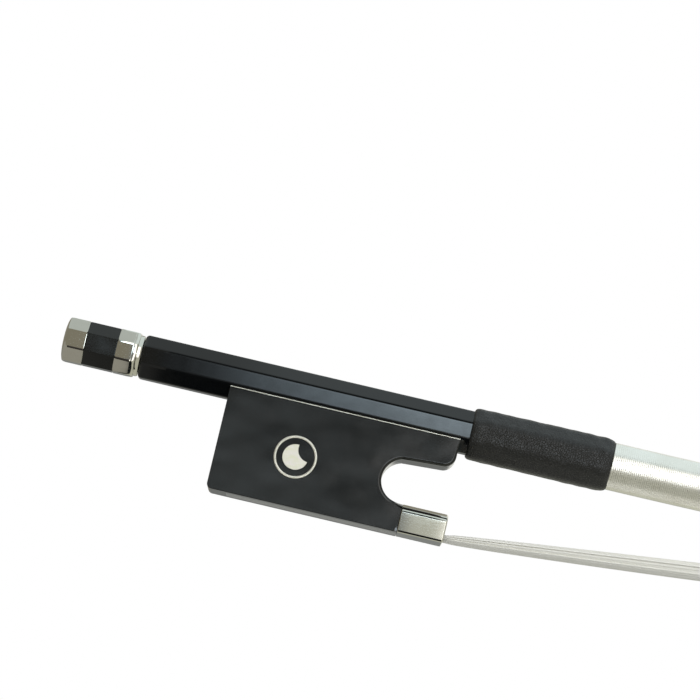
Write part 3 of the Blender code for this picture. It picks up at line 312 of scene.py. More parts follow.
def through(points, steps):
    """A smooth curve through the points, with its ends left straight."""
    places = [Vector(point) for point in points]
    places = [2 * places[0] - places[1]] + places + [2 * places[-1] - places[-2]]
    curve = []
    for a, b, c, d in zip(places, places[1:], places[2:], places[3:]):
        for t in shares(steps)[:-1]:
            curve.append(0.5 * (2 * b + (c - a) * t + (2 * a - 5 * b + 4 * c - d) * t ** 2
                                + (3 * b - a - 3 * c + d) * t ** 3))
    return curve + [places[-2]]


def bezier(knots, share):
    a, b, c, d = knots
    rest = 1.0 - share
    return a * rest ** 3 + b * (3 * share * rest ** 2) + c * (3 * share ** 2 * rest) + d * share ** 3


def mirrored(half):
    """A closed list of (up, across) points from the half between its two points on the middle line."""
    return half + [(up, -across) for up, across in reversed(half[1:-1])]


# Meshes

def loft(rings, closed=False):
    """Points and faces of a skin over rings of equal counts, capped at its ends or joined round."""
    count = len(rings[0])
    points = [point for ring in rings for point in ring]
    faces = []
    for span in range(len(rings) if closed else len(rings) - 1):
        first = span * count
        second = ((span + 1) % len(rings)) * count
        for index in range(count):
            following = (index + 1) % count
            faces.append((first + index, first + following, second + following, second + index))
    if not closed:
        faces.append(tuple(reversed(range(count))))
        faces.append(tuple(range(len(points) - count, len(points))))
    return points, faces


def placed(rings, where):
    """The same rings in the world, from a frame's millimetres."""
    return [[where.at(*point) for point in ring] for ring in rings]


def shown(name, data):
    """A new object, linked into the scene."""
    made = bpy.data.objects.new(name, data)
    bpy.context.scene.collection.objects.link(made)
    return made


def raw_mesh(name, points, faces):
    mesh = bpy.data.meshes.new(name)
    shape = bmesh.new()
    corners = [shape.verts.new(point) for point in points]
    for face in faces:
        shape.faces.new([corners[index] for index in face])
    bmesh.ops.recalc_face_normals(shape, faces=shape.faces)
    shape.to_mesh(mesh)
    shape.free()
    return mesh


def cutter(points, faces):
    return shown("cutter", raw_mesh("cutter", points, faces))


def cuts(*shapes):
    """The steps that take these shapes away from a piece."""
    return [("DIFFERENCE", cutter(*shape)) for shape in shapes]


def shaped(mesh, name, tools):
    """The mesh after each (operation, cutter) pair has been worked on it."""
    work = shown(name, mesh)
    for operation, tool in tools:
        step = work.modifiers.new("step", "BOOLEAN")
        step.operation = operation
        step.solver = "EXACT"
        step.object = tool
    graph = bpy.context.evaluated_depsgraph_get()
    result = bpy.data.meshes.new_from_object(work.evaluated_get(graph))
    bpy.data.objects.remove(work)
    for _, tool in tools:
        bpy.data.objects.remove(tool)
    return result


def piece(name, points, faces, material, body, slot, stands_for=(), tools=(), sharp=35, level=True):
    """A visible piece that rides on a CAD body, shown in place of its CAD nodes."""
    mesh = raw_mesh(name, points, faces)
    if tools:
        mesh = shaped(mesh, name, tools)
    mesh.materials.clear()
    mesh.materials.append(material)
    mesh.shade_smooth()
    mesh.set_sharp_from_angle(angle=math.radians(sharp))
    made = shown(name, mesh)
    if level:
        flats = made.modifiers.new("even_flats", "WEIGHTED_NORMAL")
        flats.keep_sharp = True
    if body is not None:
        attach(made, body)
    if stands_for:
        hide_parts(*stands_for)
    return made


def prism(outline, half_width, where):
    """An outline of (along, up) points, extruded across by a half width."""
    rings = [[(along, side * half_width, up) for along, up in outline] for side in (-1, 1)]
    return loft(placed(rings, where))


def turned(profile, where, sides=48):
    """A solid of revolution about the along axis, from (along, radius) pairs."""
    rings = [[(along, radius * sine, radius * cosine) for cosine, sine in circle(sides)]
             for along, radius in profile]
    return loft(placed(rings, where))


def bar(section, first, last, where):
    """A section of (across, up) points, run straight from one place to another."""
    return loft(placed([[(along, across, up) for across, up in section] for along in (first, last)], where))


def upright(profile, along, where, sides=32):
    """A solid of revolution about the up axis, from (up, radius) pairs."""
    rings = [[(along + radius * cosine, radius * sine, up) for cosine, sine in circle(sides)]
             for up, radius in profile]
    return loft(placed(rings, where))


# Sections of the stick

def octagon_section(half, corner, steps=6):
    """Points (up, across) of an octagon with flats facing up, down and sideways, its corners rounded."""
    eighth = math.pi / 4
    centre = (half - corner) / math.cos(eighth / 2)
    corners = []
    for k in range(8):
        aim = eighth * (k + 0.5)
        turns = [aim + eighth * (share - 0.5) for share in shares(steps)]
        corners.append([(centre * math.cos(aim) + corner * math.cos(turn),
                         centre * math.sin(aim) + corner * math.sin(turn)) for turn in turns])
    points = []
    for here, following in zip(corners, corners[1:] + corners[:1]):
        points += here
        for share in (0.08, 0.5, 0.92):
            points.append(tuple(mix(before, after, share) for before, after in zip(here[-1], following[0])))
    return points


ROUND = 0.985
RING_ANGLES = [math.atan2(across, up) for up, across in octagon_section(1.0, ROUND)]


def soft_section(polygon, power):
    """A polygon with softened corners, kept to its extents, with a point at each of the stick's angles."""
    planes = []
    for (up, across), (next_up, next_across) in zip(polygon, polygon[1:] + polygon[:1]):
        normal = (next_across - across, up - next_up)
        reach = normal[0] * up + normal[1] * across
        if reach > 1e-6:
            planes.append((normal[0] / reach, normal[1] / reach))
    points = []
    for angle in RING_ANGLES:
        up, across = math.cos(angle), math.sin(angle)
        total = sum(max(0.0, a * up + b * across) ** power for a, b in planes)
        points.append((up * total ** (-1 / power), across * total ** (-1 / power)))
    top = max(up for up, _ in points)
    low = -min(up for up, _ in points)
    wide = max(abs(across) for _, across in polygon) / max(across for _, across in points)
    return [(up / (top if up > 0 else low), across * wide) for up, across in points]


# Middle line of the stick

def head_outline(steps=2):
    """Pairs of (back, throat) points in the head frame, from the neck to the face."""
    tall = HEAD_HEIGHT
    long = FACE_LENGTH
    lean = math.tan(math.radians(NECK_SLOPE))
    neck = (-7.5, tall - NECK_THICKNESS)
    marks = [
        ((neck[0] + NECK_THICKNESS * lean, tall), neck),
        ((long - 24.1, tall - 0.9), (-2.6, tall - 6.3)),
        ((long - 16.9, tall - 1.7), (0.6, tall - 7.4)),
        ((long - 13.0, tall - 2.6), (2.4, tall - 8.7)),
        ((long - 10.5, tall - 3.9), (3.4, tall - 10.1)),
        ((long - 9.2, tall - 6.1), (3.55, tall - 12.0)),
        ((long - 8.3, tall - 9.4), (3.4, tall - 14.0)),
        ((long - 8.0, 13.0), (3.1, 10.3)),
        ((long - 7.8, 9.5), (2.6, 8.3)),
        ((long - 7.3, 6.3), (2.1, 6.3)),
        ((long - 6.4, 3.95), (1.4, 4.4)),
        ((long - 4.9, 2.35), (0.8, 2.7)),
        ((long - 2.7, 1.35), (0.4, 1.55)),
        ((long, 1.1), (0.15, 0.7)),
    ]
    back = through([pair[0] for pair in marks], steps)
    throat = through([pair[1] for pair in marks], steps)
    return list(zip(back, throat)) + [(Vector((long, 0.0)), Vector((0.0, 0.0)))]


def camber_line():
    """Points of the stick's middle in the bow frame, from the straight handle's end to the neck."""
    start = BOW.read(HANDLE.at(STRAIGHT_HANDLE, 0, 0))
    leave = BOW.read(HANDLE.at(STRAIGHT_HANDLE + 1, 0, 0)) - start
    back, throat = head_outline()[0]
    end = BOW.read(HEAD.at((back[0] + throat[0]) / 2, 0, (back[1] + throat[1]) / 2))
    rise = math.radians(HAIR_SLOPE_AT_FACE - NECK_SLOPE)
    arrive = Vector((math.cos(rise), 0, math.sin(rise)))
    low = Vector((mix(start.x, end.x, CAMBER_LOW_SHARE), 0, CAMBER_LOW_HEIGHT))
    flat = Vector((CAMBER_MID_PULL, 0, 0))
    first = (start, start + leave * CAMBER_HANDLE_PULL, low - flat, low)
    second = (low, low + flat, end - arrive * CAMBER_HEAD_PULL, end)
    steps = shares(120)
    return [bezier(first, share) for share in steps[:-1]] + [bezier(second, share) for share in steps]


class Line:
    """The stick's middle line in the bow frame, read by its distance from the butt."""

    def __init__(self):
        self.points = camber_line()
        self.marks = [STRAIGHT_HANDLE]
        for before, after in zip(self.points, self.points[1:]):
            self.marks.append(self.marks[-1] + (after - before).length)
        self.length = self.marks[-1]

    def at(self, distance):
        """The point, and the unit direction towards the head."""
        if distance <= STRAIGHT_HANDLE:
            here = BOW.read(HANDLE.at(distance, 0, 0))
            return here, (BOW.read(HANDLE.at(distance + 1, 0, 0)) - here).normalized()
        index = min(int(np.searchsorted(self.marks, distance)), len(self.marks) - 1)
        span = self.marks[index] - self.marks[index - 1]
        here = self.points[index - 1].lerp(self.points[index], (distance - self.marks[index - 1]) / span)
        before = self.points[max(index - 2, 0)]
        after = self.points[min(index + 1, len(self.points) - 1)]
        return here, (after - before).normalized()


LINE = Line()


def stick_half(distance):
    """Half the stick's thickness across its flats."""
    share = smooth((distance - STRAIGHT_HANDLE) / (0.9 * LINE.length - STRAIGHT_HANDLE))
    taper = mix(HANDLE_FLATS, TIP_DIAMETER, share)
    swell = smooth((distance - 0.9 * LINE.length) / (0.1 * LINE.length))
    return mix(taper, NECK_THICKNESS, swell) / 2


def stick_roundness(distance):
    return smooth((distance - OCTAGON_END) / (ROUND_START - OCTAGON_END))


def line_ring(distance, section):
    """A section of (up, across) points, set square to the middle line, in the world."""
    here, along = LINE.at(distance)
    up = square_up(along)
    places = [(here + up * rise, across) for rise, across in section]
    return [BOW.at(place.x, across, place.z) for place, across in places]


def stick_section(distance, offset=0.0, least_round=0.0):
    """The stick's own section, standing off its flats by an offset."""
    half = stick_half(distance) + offset
    roundness = max(stick_roundness(distance), least_round)
    return octagon_section(half, mix(FACET_EDGE, ROUND * half, roundness))


# Materials

def colour(code):
    """Scene-linear colour of an sRGB hex code."""
    channels = [int(code[k:k + 2], 16) / 255 for k in (1, 3, 5)]
    return tuple(c / 12.92 if c <= 0.04045 else ((c + 0.055) / 1.055) ** 2.4 for c in channels) + (1.0,)


def add(tree, kind, *places, props=None, **named):
    """A shader node: an input is linked to a socket, left as it is by None, and set to any other value."""
    made = tree.nodes.new(kind)
    for key, value in (props or {}).items():
        setattr(made, key, value)
    inputs = list(enumerate(places)) + [(key.replace("_", " "), value) for key, value in named.items()]
    for key, value in inputs:
        if isinstance(value, bpy.types.NodeSocket):
            tree.links.new(value, made.inputs[key])
        elif value is not None:
            made.inputs[key].default_value = value
    return made


def new_material(name):
    """An empty node material, its tree, and the places on the object in metres."""
    material = bpy.data.materials.new(name)
    material.use_nodes = True
    tree = material.node_tree
    tree.nodes.clear()
    places = add(tree, "ShaderNodeTexCoord").outputs["Object"]
    return material, tree, places


def close(material, kind="ShaderNodeBsdfPrincipled", *places, **settings):
    """The material, closed with one surface shader."""
    surface = add(material.node_tree, kind, *places, **settings)
    add(material.node_tree, "ShaderNodeOutputMaterial", Surface=surface.outputs[0])
    return material


def blend(tree, share, low, high):
    """A colour between two, each of them a hex code or a socket, by a share."""
    ends = [colour(end) if isinstance(end, str) else end for end in (low, high)]
    # The mixer's inputs for numbers and vectors come between its share and its colours
    other_kinds = [None] * 5
    return add(tree, "ShaderNodeMix", share, *other_kinds, *ends, props={"data_type": "RGBA"}).outputs[2]


def between(tree, value, low, high, from_low=0.0, from_high=1.0):
    """The value, mapped from one range to another."""
    return add(tree, "ShaderNodeMapRange", value, from_low, from_high, low, high).outputs[0]


def joined(tree, operation, first, *others):
    """The values joined by ADD, MULTIPLY or MAXIMUM, one after the other."""
    for other in others:
        first = add(tree, "ShaderNodeMath", first, other, props={"operation": operation}).outputs[0]
    return first


def stretched(tree, places, along, across=1, up=1):
    """Places scaled by a different number in each direction."""
    return add(tree, "ShaderNodeMapping", places, Scale=(along, across, up)).outputs[0]


def speckle(tree, places, spacing_mm, detail=3.0, roughness=0.55):
    """Noise whose blotches are about the spacing across."""
    return add(tree, "ShaderNodeTexNoise", Vector=places, Scale=1.0 / (spacing_mm * MM), Detail=detail,
               Roughness=roughness).outputs["Fac"]


def full_range(tree, noise, low=0.0, high=1.0, cut=0.3):
    """Noise, which keeps near its middle, stretched so that it runs from low to high. The cut is the part of
    its range that is left off at each end."""
    return between(tree, noise, low, high, cut, 1.0 - cut)


def relief(tree, height, depth_mm, strength=1.0, over=None):
    """A bump of a depth, laid over another one if there is one."""
    return add(tree, "ShaderNodeBump", Height=height, Distance=depth_mm * MM, Strength=strength,
               Normal=over).outputs[0]


def lacquer_material():
    """Gloss black lacquer on carbon: sharp, slightly uneven reflections that fade to a deep black."""
    material, tree, places = new_material("black_lacquer")
    cloud = speckle(tree, stretched(tree, places, 0.25), 6.0)
    base = blend(tree, cloud, "#060708", "#0e1011")
    rough = full_range(tree, speckle(tree, places, 2.5), 0.045, 0.075)
    waves = relief(tree, speckle(tree, stretched(tree, places, 0.2), 2.0), 0.001)
    return close(material, Base_Color=base, Roughness=rough, Normal=waves, IOR=1.45, Specular_IOR_Level=0.5)


def ebony_material():
    """Polished ebony: charcoal black with fine pores along the handle and a soft, cloudy shine."""
    material, tree, places = new_material("ebony")
    pores = speckle(tree, stretched(tree, places, 0.06), 0.16, 4.0)
    cloud = speckle(tree, places, 5.0, 3.0)
    base = blend(tree, pores, "#060807", "#0d0f0e")
    rough = full_range(tree, cloud, 0.09, 0.14)
    hollows = speckle(tree, stretched(tree, places, 0.7), 15.0, 2.0)
    rubbed = relief(tree, hollows, 0.4, 0.6)
    grain = relief(tree, pores, 0.002, 0.3, rubbed)
    return close(material, Base_Color=base, Roughness=rough, Normal=grain, IOR=1.5, Specular_IOR_Level=0.5)


def metal_material(name, dull, bright, rough_low, rough_high, brush):
    """A worked metal: slight tarnish in clouds, and fine marks of the buff along one way."""
    material, tree, places = new_material(name)
    cloud = speckle(tree, places, 5.0, 2.0)
    base = blend(tree, full_range(tree, cloud), dull, bright)
    marks = speckle(tree, stretched(tree, places, *brush), 0.25, 2.0)
    rough = full_range(tree, marks, rough_low, rough_high, 0.25)
    scratches = relief(tree, marks, 0.001, 0.04)
    return close(material, Base_Color=base, Metallic=1.0, Roughness=rough, Normal=scratches)


def leather_material():
    """Black goat leather: matte, with small pebbles and creases that catch a dull light; the creases are painted
    darker as shade.
    """
    material, tree, places = new_material("black_leather")
    pebbles = add(tree, "ShaderNodeTexVoronoi", Vector=places, Scale=1 / (0.5 * MM),
                  props={"feature": "DISTANCE_TO_EDGE"}).outputs["Distance"]
    creases_and_painted_shade = between(tree, pebbles, 0.0, 1.0, 0.0, 0.16)
    fine = speckle(tree, places, 0.2, 4.0)
    # Painted shade: the base colour is darker along the creases between the pebbles.
    base = blend(tree, creases_and_painted_shade, "#020203", "#06080a")
    height = joined(tree, "ADD", creases_and_painted_shade, fine)
    rough = full_range(tree, fine, 0.3, 0.42)
    return close(material, Base_Color=base, Roughness=rough, Normal=relief(tree, height, 0.04), IOR=1.5,
                 Specular_IOR_Level=0.6)


def bone_material():
    """Moulded bone-like plastic: pale grey cream, even, with a low soft shine."""
    material, tree, places = new_material("bone_plastic")
    cloud = speckle(tree, places, 2.2, 3.0)
    base = blend(tree, cloud, "#b3b4ab", "#c4c5bd")
    rough = full_range(tree, cloud, 0.28, 0.38)
    dimples = relief(tree, speckle(tree, places, 0.3), 0.004)
    return close(material, Base_Color=base, Roughness=rough, Normal=dimples, IOR=1.5, Subsurface_Weight=0.08,
                 Subsurface_Scale=0.6 * MM)


def pearl_material(name, dark_cream, pale_cream, green, pink):
    """Mother of pearl: drifting green and pink bands under a wet-looking polish."""
    material, tree, places = new_material(name)
    drift = speckle(tree, stretched(tree, places, 1, 1, 2.2), 1.7, 4.0, 0.6)
    cream = blend(tree, full_range(tree, drift, cut=0.35), dark_cream, pale_cream)
    layers = add(tree, "ShaderNodeTexWave", Vector=stretched(tree, places, 1, 1, 1.6), Scale=1 / (0.9 * MM),
                 Distortion=7.0, Detail=3.0).outputs["Fac"]
    base = blend(tree, 0.35, cream, blend(tree, layers, green, pink))
    rough = between(tree, layers, 0.12, 0.24)
    return close(material, Base_Color=base, Roughness=rough, IOR=1.55, Sheen_Weight=0.15, Coat_Weight=0.4,
                 Coat_Roughness=0.06, Normal=relief(tree, layers, 0.004, 0.6))


def hair_material():
    """Bleached horsehair: pale ivory hairs, no two quite alike, with a silky glint along them."""
    material, tree, places = new_material("horsehair")
    hairs = speckle(tree, stretched(tree, places, 0.01), 0.22, 3.0)
    lengths = speckle(tree, stretched(tree, places, 0.05), 2.5, 3.0)
    warm = blend(tree, full_range(tree, hairs), "#ebeadf", "#fbfaf5")
    cool = blend(tree, full_range(tree, lengths), "#ecece2", "#faf9f4")
    return close(material, Base_Color=blend(tree, 0.4, warm, cool), Roughness=0.45, IOR=1.5,
                 Specular_IOR_Level=0.4, Normal=relief(tree, hairs, 0.01, 0.3))


def maple_material():
    """Bare maple wedge: pale brown with short darker flecks along the grain."""
    material, tree, places = new_material("maple")
    grain = speckle(tree, stretched(tree, places, 0.12), 0.35, 4.0)
    base = blend(tree, grain, "#a98a5f", "#cdb184")
    return close(material, Base_Color=base, Roughness=0.6, Normal=relief(tree, grain, 0.02))


def dark_corner_line_material():
    """A brown-black line, a little mottled, laid along a corner of each button ring."""
    material, tree, places = new_material("dark_corner_line")
    # A thin brown-black strip, a little mottled.
    base = blend(tree, speckle(tree, places, 0.3), "#241f1b", "#3a332c")
    return close(material, Base_Color=base, Roughness=0.5, Metallic=0.4)


LACQUER = lacquer_material()
EBONY = ebony_material()
NICKEL = metal_material("nickel_silver", "#cbc9bf", "#d3d1c8", 0.035, 0.055, (0.05, 1, 1))
SATIN = metal_material("satin_nickel_inlay", "#dddbd0", "#ebe9e0", 0.45, 0.55, (1, 1, 1))
SILVER = metal_material("silver_wire", "#eceae2", "#f5f4ee", 0.26, 0.32, (1, 1, 1))
LINING = metal_material("rolled_nickel_lining", "#c1bfb4", "#cbc9bf", 0.3, 0.38, (0.05, 1, 1))
BRASS = metal_material("brass", "#a07b3a", "#c9a35a", 0.25, 0.4, (1, 1, 0.1))
STEEL = metal_material("steel", "#8d8d8c", "#aaaaa8", 0.2, 0.35, (1, 1, 1))
LEATHER = leather_material()
BONE = bone_material()
PEARL = pearl_material("mother_of_pearl", "#e8e9c9", "#f3efe6", "#dbe6d2", "#f4e6e2")
# A greyer pearl for the slide, darkened further as painted shade because the slide lies on the frog's underside.
PEARL_WITH_PAINTED_SHADE = pearl_material("grey_pearl_with_painted_shade", "#64665f", "#74716c", "#5b645c", "#766b6a")
HORSEHAIR = hair_material()
MAPLE = maple_material()
DARK_CORNER_LINE = dark_corner_line_material()


# Stick and head

def butt_rings():
    """The turned nipple, and the butt with its rounded edge."""
    start = -BUTT_OVERHANG
    tip = start - NIPPLE_LENGTH
    rings = []
    for along, radius in ((tip, NIPPLE_RADIUS - NIPPLE_CHAMFER), (tip + NIPPLE_CHAMFER, NIPPLE_RADIUS),
                          (start, NIPPLE_RADIUS)):
        rings.append(line_ring(along, octagon_section(radius, ROUND * radius)))
    for cosine, sine in quarter(6):
        half = HANDLE_FLATS / 2 - BUTT_ROUNDING * (1 - sine)
        corner = mix(FACET_EDGE, 0.5 * half, (1 - sine) * 0.9)
        rings.append(line_ring(start + BUTT_ROUNDING * (1 - cosine), octagon_section(half, corner)))
    return rings


def head_polygons():
    """Outlines of the neck, of the cheek and of the face, each as (up, across) round from the back."""
    cheek = mirrored([(1.0, 0.0), (0.97, 0.30), (0.80, 0.74), (0.42, 0.96), (0.0, 1.0),
                      (-0.42, 1.0), (-0.77, 0.97), (-1.0, 0.42), (-1.0, 0.0)])
    face = mirrored([(1.0, 0.0), (1.0, 0.27), (0.85, 0.36), (0.40, 0.62), (-0.10, 0.86),
                     (-0.50, 0.97), (-0.86, 1.0), (-1.0, 0.96), (-1.0, 0.0)])
    return circle(16), cheek, face


def head_ring(back, throat, share):
    """A ring of the head between a back point and a throat point, from round neck to flat face.

    The neck turns into the cheek over the first fifth of the rings, and the cheek into the face over the
    second half. The power sets how crisp the polygon's corners are."""
    plain, cheek, face = head_polygons()
    into_cheek = smooth(share * 5.0)
    into_face = smooth((share - 0.5) * 2.0)
    height = max(0.0, min(back[1], HEAD_HEIGHT)) / HEAD_HEIGHT
    flare = (1.0 - height) ** FACE_FLARE if share > 0 else 0.0
    half = mix(mix(NECK_THICKNESS, CHEEK_WIDTH, into_cheek), FACE_WIDTH, flare) / 2
    polygon = []
    for (a, b), (c, d), (e, f) in zip(plain, cheek, face):
        polygon.append((mix(mix(a, c, into_cheek), e, into_face), mix(mix(b, d, into_cheek), f, into_face)))
    middle = (back + throat) / 2
    reach = (back - throat) / 2
    ring = []
    for rise, across in soft_section(polygon, mix(NECK_CRISPNESS, HEAD_CRISPNESS, into_cheek)):
        ring.append(HEAD.at(middle[0] + reach[0] * rise, across * half, middle[1] + reach[1] * rise))
    return ring


def stick_tools():
    """Cutters for the screw bore, the eyelet's slot and the mortise in the head."""
    bore = turned([(-BUTT_OVERHANG - NIPPLE_LENGTH - 2, SCREW_RADIUS + SLIDING_GAP),
                   (SCREW_BORE_END, SCREW_RADIUS + SLIDING_GAP)], HANDLE)
    rear = EYELET_ALONG - EYELET_LENGTH / 2 - TRAVEL_TO_BUTTON - 2 * SOFT_GAP
    front = EYELET_ALONG + EYELET_LENGTH / 2 + TRAVEL_TO_GRIP + 2 * SOFT_GAP
    top = EYELET_RADIUS + SLIDING_GAP * 2
    slot = prism([(rear, -HANDLE_FLATS), (front, -HANDLE_FLATS), (front, top), (rear, top)],
                 EYELET_RADIUS + SLIDING_GAP, HANDLE)
    first, last = HEAD_MORTISE
    mortise = prism([(first, -1), (last, -1), (last, HEAD_MORTISE_DEPTH), (first, HEAD_MORTISE_DEPTH)],
                    HEAD_MORTISE_WIDTH / 2, HEAD)
    return cuts(bore, slot, mortise)


def make_stick():
    """The stick from its nipple to the face of the head, in one skin."""
    rings = butt_rings()
    spacing = 5.0
    stations = [4.0, GRIP_START, STRAIGHT_HANDLE]
    while stations[-1] + spacing < LINE.length - 3.0:
        stations.append(stations[-1] + spacing)
    rings += [line_ring(distance, stick_section(distance)) for distance in stations]
    outline = head_outline(8)
    for index, (back, throat) in enumerate(outline):
        rings.append(head_ring(back, throat, index / (len(outline) - 1)))
    piece("stick_and_head", *loft(rings), LACQUER, "stick", "stick", ["stick"], stick_tools(), sharp=40)


def make_tip_plate():
    """The pale plate under the head, its edges eased, with its turned-up nose."""
    half = FACE_WIDTH / 2
    long = FACE_LENGTH
    nose = long + PLATE_NOSE_LENGTH
    top = -SEAT_GAP
    under = top - PLATE_THICKNESS
    wall = long + SEAT_GAP
    soft = 0.22
    heel = top - PLATE_HEEL_THICKNESS + SEAT_GAP
    plan = through([(0.0, 0.96, heel), (0.07 * long, 1.0, under), (0.25 * long, 0.97, under),
                    (0.45 * long, 0.86, under), (0.70 * long, 0.62, under), (0.925 * long, 0.36, under),
                    (wall, 0.29, under)], 8)
    stations = [(along, half * wide, low, top) for along, wide, low in plan]
    stations += [(wall + 0.02, half * 0.29, under, PLATE_NOSE_RISE * 0.8),
                 (wall + 0.25, half * 0.285, under, PLATE_NOSE_RISE * 0.95),
                 (wall + 0.6, half * 0.27, under, PLATE_NOSE_RISE),
                 (nose - 0.35, half * 0.25, under + 0.08, PLATE_NOSE_RISE * 0.98),
                 (nose - 0.1, half * 0.23, under + 0.25, PLATE_NOSE_RISE * 0.9),
                 (nose, half * 0.2, under + 0.45, PLATE_NOSE_RISE * 0.8)]
    rings = []
    for along, wide, low, high in stations:
        ring = [(along, wide, high), (along, -wide, high)]
        ring += [(along, -wide + soft + y, low + soft + z) for y, z in arc((0, 0), soft, 180, 270, 5)]
        ring += [(along, wide - soft + y, low + soft + z) for y, z in arc((0, 0), soft, 270, 360, 5)]
        rings.append(ring)
    first, last = HEAD_MORTISE
    hole = prism([(first + 0.4, -3), (last, -3), (last, 1), (first + 0.4, 1)], HEAD_MORTISE_WIDTH / 2, HEAD)
    piece("tip_plate_bone", *loft(placed(rings, HEAD)), BONE, "stick", "plate", ["tip_plate"],
          cuts(hole), sharp=50)


# Grip and winding

def make_grip():
    """The leather sleeve: pebbled, a little uneven, and rolled in at both ends."""
    end = GRIP_START + GRIP_LENGTH
    long = GRIP_LENGTH
    profile = through([(0.0, 0.30), (0.12, 0.52), (0.45, 0.80), (1.3, 0.97), (3.0, 1.0), (long * 0.35, 1.03),
                       (long * 0.7, 1.12), (long - 3.0, 1.12), (long - 1.2, 1.0), (long - 0.35, 0.74),
                       (long, 0.36)], 10)
    stations = [(GRIP_START + along, share) for along, share in profile]
    chance = np.random.default_rng(7)
    waves = [(chance.uniform(0.8, 2.6), chance.integers(2, 9), chance.uniform(0, 6.28)) for _ in range(14)]
    outer = []
    for along, share in stations:
        section = stick_section(along, GRIP_WALL * share, GRIP_ROUNDNESS)
        ring = []
        for up, across in section:
            angle = math.atan2(across, up)
            swell = sum(math.sin(along * pace + angle * turns + phase) for pace, turns, phase in waves)
            grow = 1.0 + GRIP_UNEVENNESS * swell
            ring.append((up * grow, across * grow))
        outer.append(line_ring(along, ring))
    inner = [line_ring(distance, stick_section(distance, SLIDING_GAP))
             for distance in (end, (GRIP_START + end) / 2, GRIP_START)]
    piece("grip_leather", *loft(outer + inner, closed=True), LEATHER, "stick", "leather", ["thumb_grip"],
          sharp=80, level=False)


def make_winding():
    """Silver wire wound turn against turn on the stick, from the grip forwards."""
    start = GRIP_START + GRIP_LENGTH - SOFT_GAP
    radius = WIRE_THICKNESS / 2
    turns = int((WINDING_LENGTH + SOFT_GAP) / WIRE_THICKNESS)
    per_turn = 40
    # Across the wire, from side to side over its crown: the pulled wire lies flat and touches the next turn
    crown = ((-1.0, -0.5), (-0.995, 0.84), (-0.6, 0.88), (0.0, 0.9), (0.6, 0.88), (0.995, 0.84), (1.0, -0.5))
    rings = []
    for step in range(turns * per_turn + 1):
        distance = start + radius + WIRE_THICKNESS * step / per_turn
        here, along = LINE.at(distance)
        up = square_up(along)
        angle = 2 * math.pi * (step % per_turn) / per_turn
        out = up * math.cos(angle) + Vector((0, math.sin(angle), 0))
        roundness = max(stick_roundness(distance), WIRE_ROUNDNESS)
        octagon = 1.0 / math.cos((angle + math.pi / 8) % (math.pi / 4) - math.pi / 8)
        reach = stick_half(distance) * mix(octagon, 1.0, roundness) + WIRE_STAND_OFF + radius
        middle = here + out * reach
        rings.append([BOW.at(*(middle + out * (radius * height) + along * (radius * sideways)))
                      for sideways, height in crown])
    piece("winding_wire", *loft(rings), SILVER, "stick", "silver", ["wire_winding"], sharp=80, level=False)


# Hair

def hair_route():
    """Middle points of the hair in the bow frame, each with its width and thickness."""
    level = -(FROG_DEPTH - PEARL_THICKNESS - BACKING_THICKNESS) + CHANNEL_HEIGHT / 2 + SLIDING_GAP / 2
    inside = -(FROG_DEPTH - FERRULE_WALL - SLIDING_GAP) + RIBBON_THICKNESS / 2
    thin = RIBBON_THICKNESS - SLIDING_GAP
    route = []
    mouth = FERRULE_REAR + FERRULE_LENGTH
    for along, up, width, thickness in ((FERRULE_REAR - 0.4, level, RIBBON_WIDTH * 0.92, thin),
                                        (FERRULE_REAR + 3.0, inside, RIBBON_WIDTH, thin),
                                        (mouth, inside, RIBBON_WIDTH, RIBBON_THICKNESS)):
        place = BOW.read(HANDLE.at(along, 0, up))
        route.append((place.x, place.z, width, thickness))
    near_frog = [0.003, 0.0065, 0.0115]
    for share in near_frog + shares(50)[1:-1]:
        belly = min(1.0, HAIR_LENGTH * share / SPREAD_REACH) ** 0.5 * smooth((1.0 - share) * 6.5)
        spread = belly * (SPREAD_BELLY - RIBBON_THICKNESS)
        route.append((HAIR_LENGTH * share, -4.0 * HAIR_SAG * share * (1.0 - share) - SPREAD_DROP * spread,
                      mix(RIBBON_WIDTH, RIBBON_HEAD_WIDTH, share), RIBBON_THICKNESS + spread))
    under = -(SEAT_GAP + PLATE_THICKNESS + SLIDING_GAP) - RIBBON_THICKNESS / 2
    edge = HEAD_MORTISE[1] - SLIDING_GAP - RIBBON_THICKNESS / 2
    for along, up, width in ((0.0, -(PLATE_HEEL_THICKNESS + SLIDING_GAP) - RIBBON_THICKNESS / 2 - 0.15, 8.0),
                             (0.25 * edge, under - 0.1, 7.4), (0.6 * edge, under - 0.05, 6.2),
                             (edge - 1.3, under, RIBBON_MORTISE_WIDTH + 0.2),
                             (edge - 0.4, under + 0.35, RIBBON_MORTISE_WIDTH),
                             (edge, under + 1.2, RIBBON_MORTISE_WIDTH), (edge, 0.0, RIBBON_MORTISE_WIDTH),
                             (edge - 0.2, 0.5 * HEAD_MORTISE_DEPTH, RIBBON_MORTISE_WIDTH)):
        place = BOW.read(HEAD.at(along, 0, up))
        route.append((place.x, place.z, width, thin))
    return through(route, 2)


def hair_core(frames):
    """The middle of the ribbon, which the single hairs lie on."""
    rings = []
    for here, up, width, thickness in frames:
        ring = []
        for cosine, sine in circle(24):
            rise = sine * (thickness / 2 - CORE_INSET_UP)
            side = math.copysign(abs(cosine) ** 0.7, cosine) * (width / 2 - CORE_INSET_ACROSS)
            ring.append(BOW.at(*(here + up * rise + Vector((0, side, 0)))))
        rings.append(ring)
    return loft(rings)


def hair_frames():
    """Along the hair: its middle points, the direction up from each, and its width and thickness there."""
    route = hair_route()
    frames = []
    for index, station in enumerate(route):
        before = route[max(index - 1, 0)]
        after = route[min(index + 1, len(route) - 1)]
        along = Vector((after[0] - before[0], 0, after[1] - before[1])).normalized()
        here = Vector((station[0], 0, station[1]))
        frames.append((here, square_up(along), station[2], station[3]))
    return frames


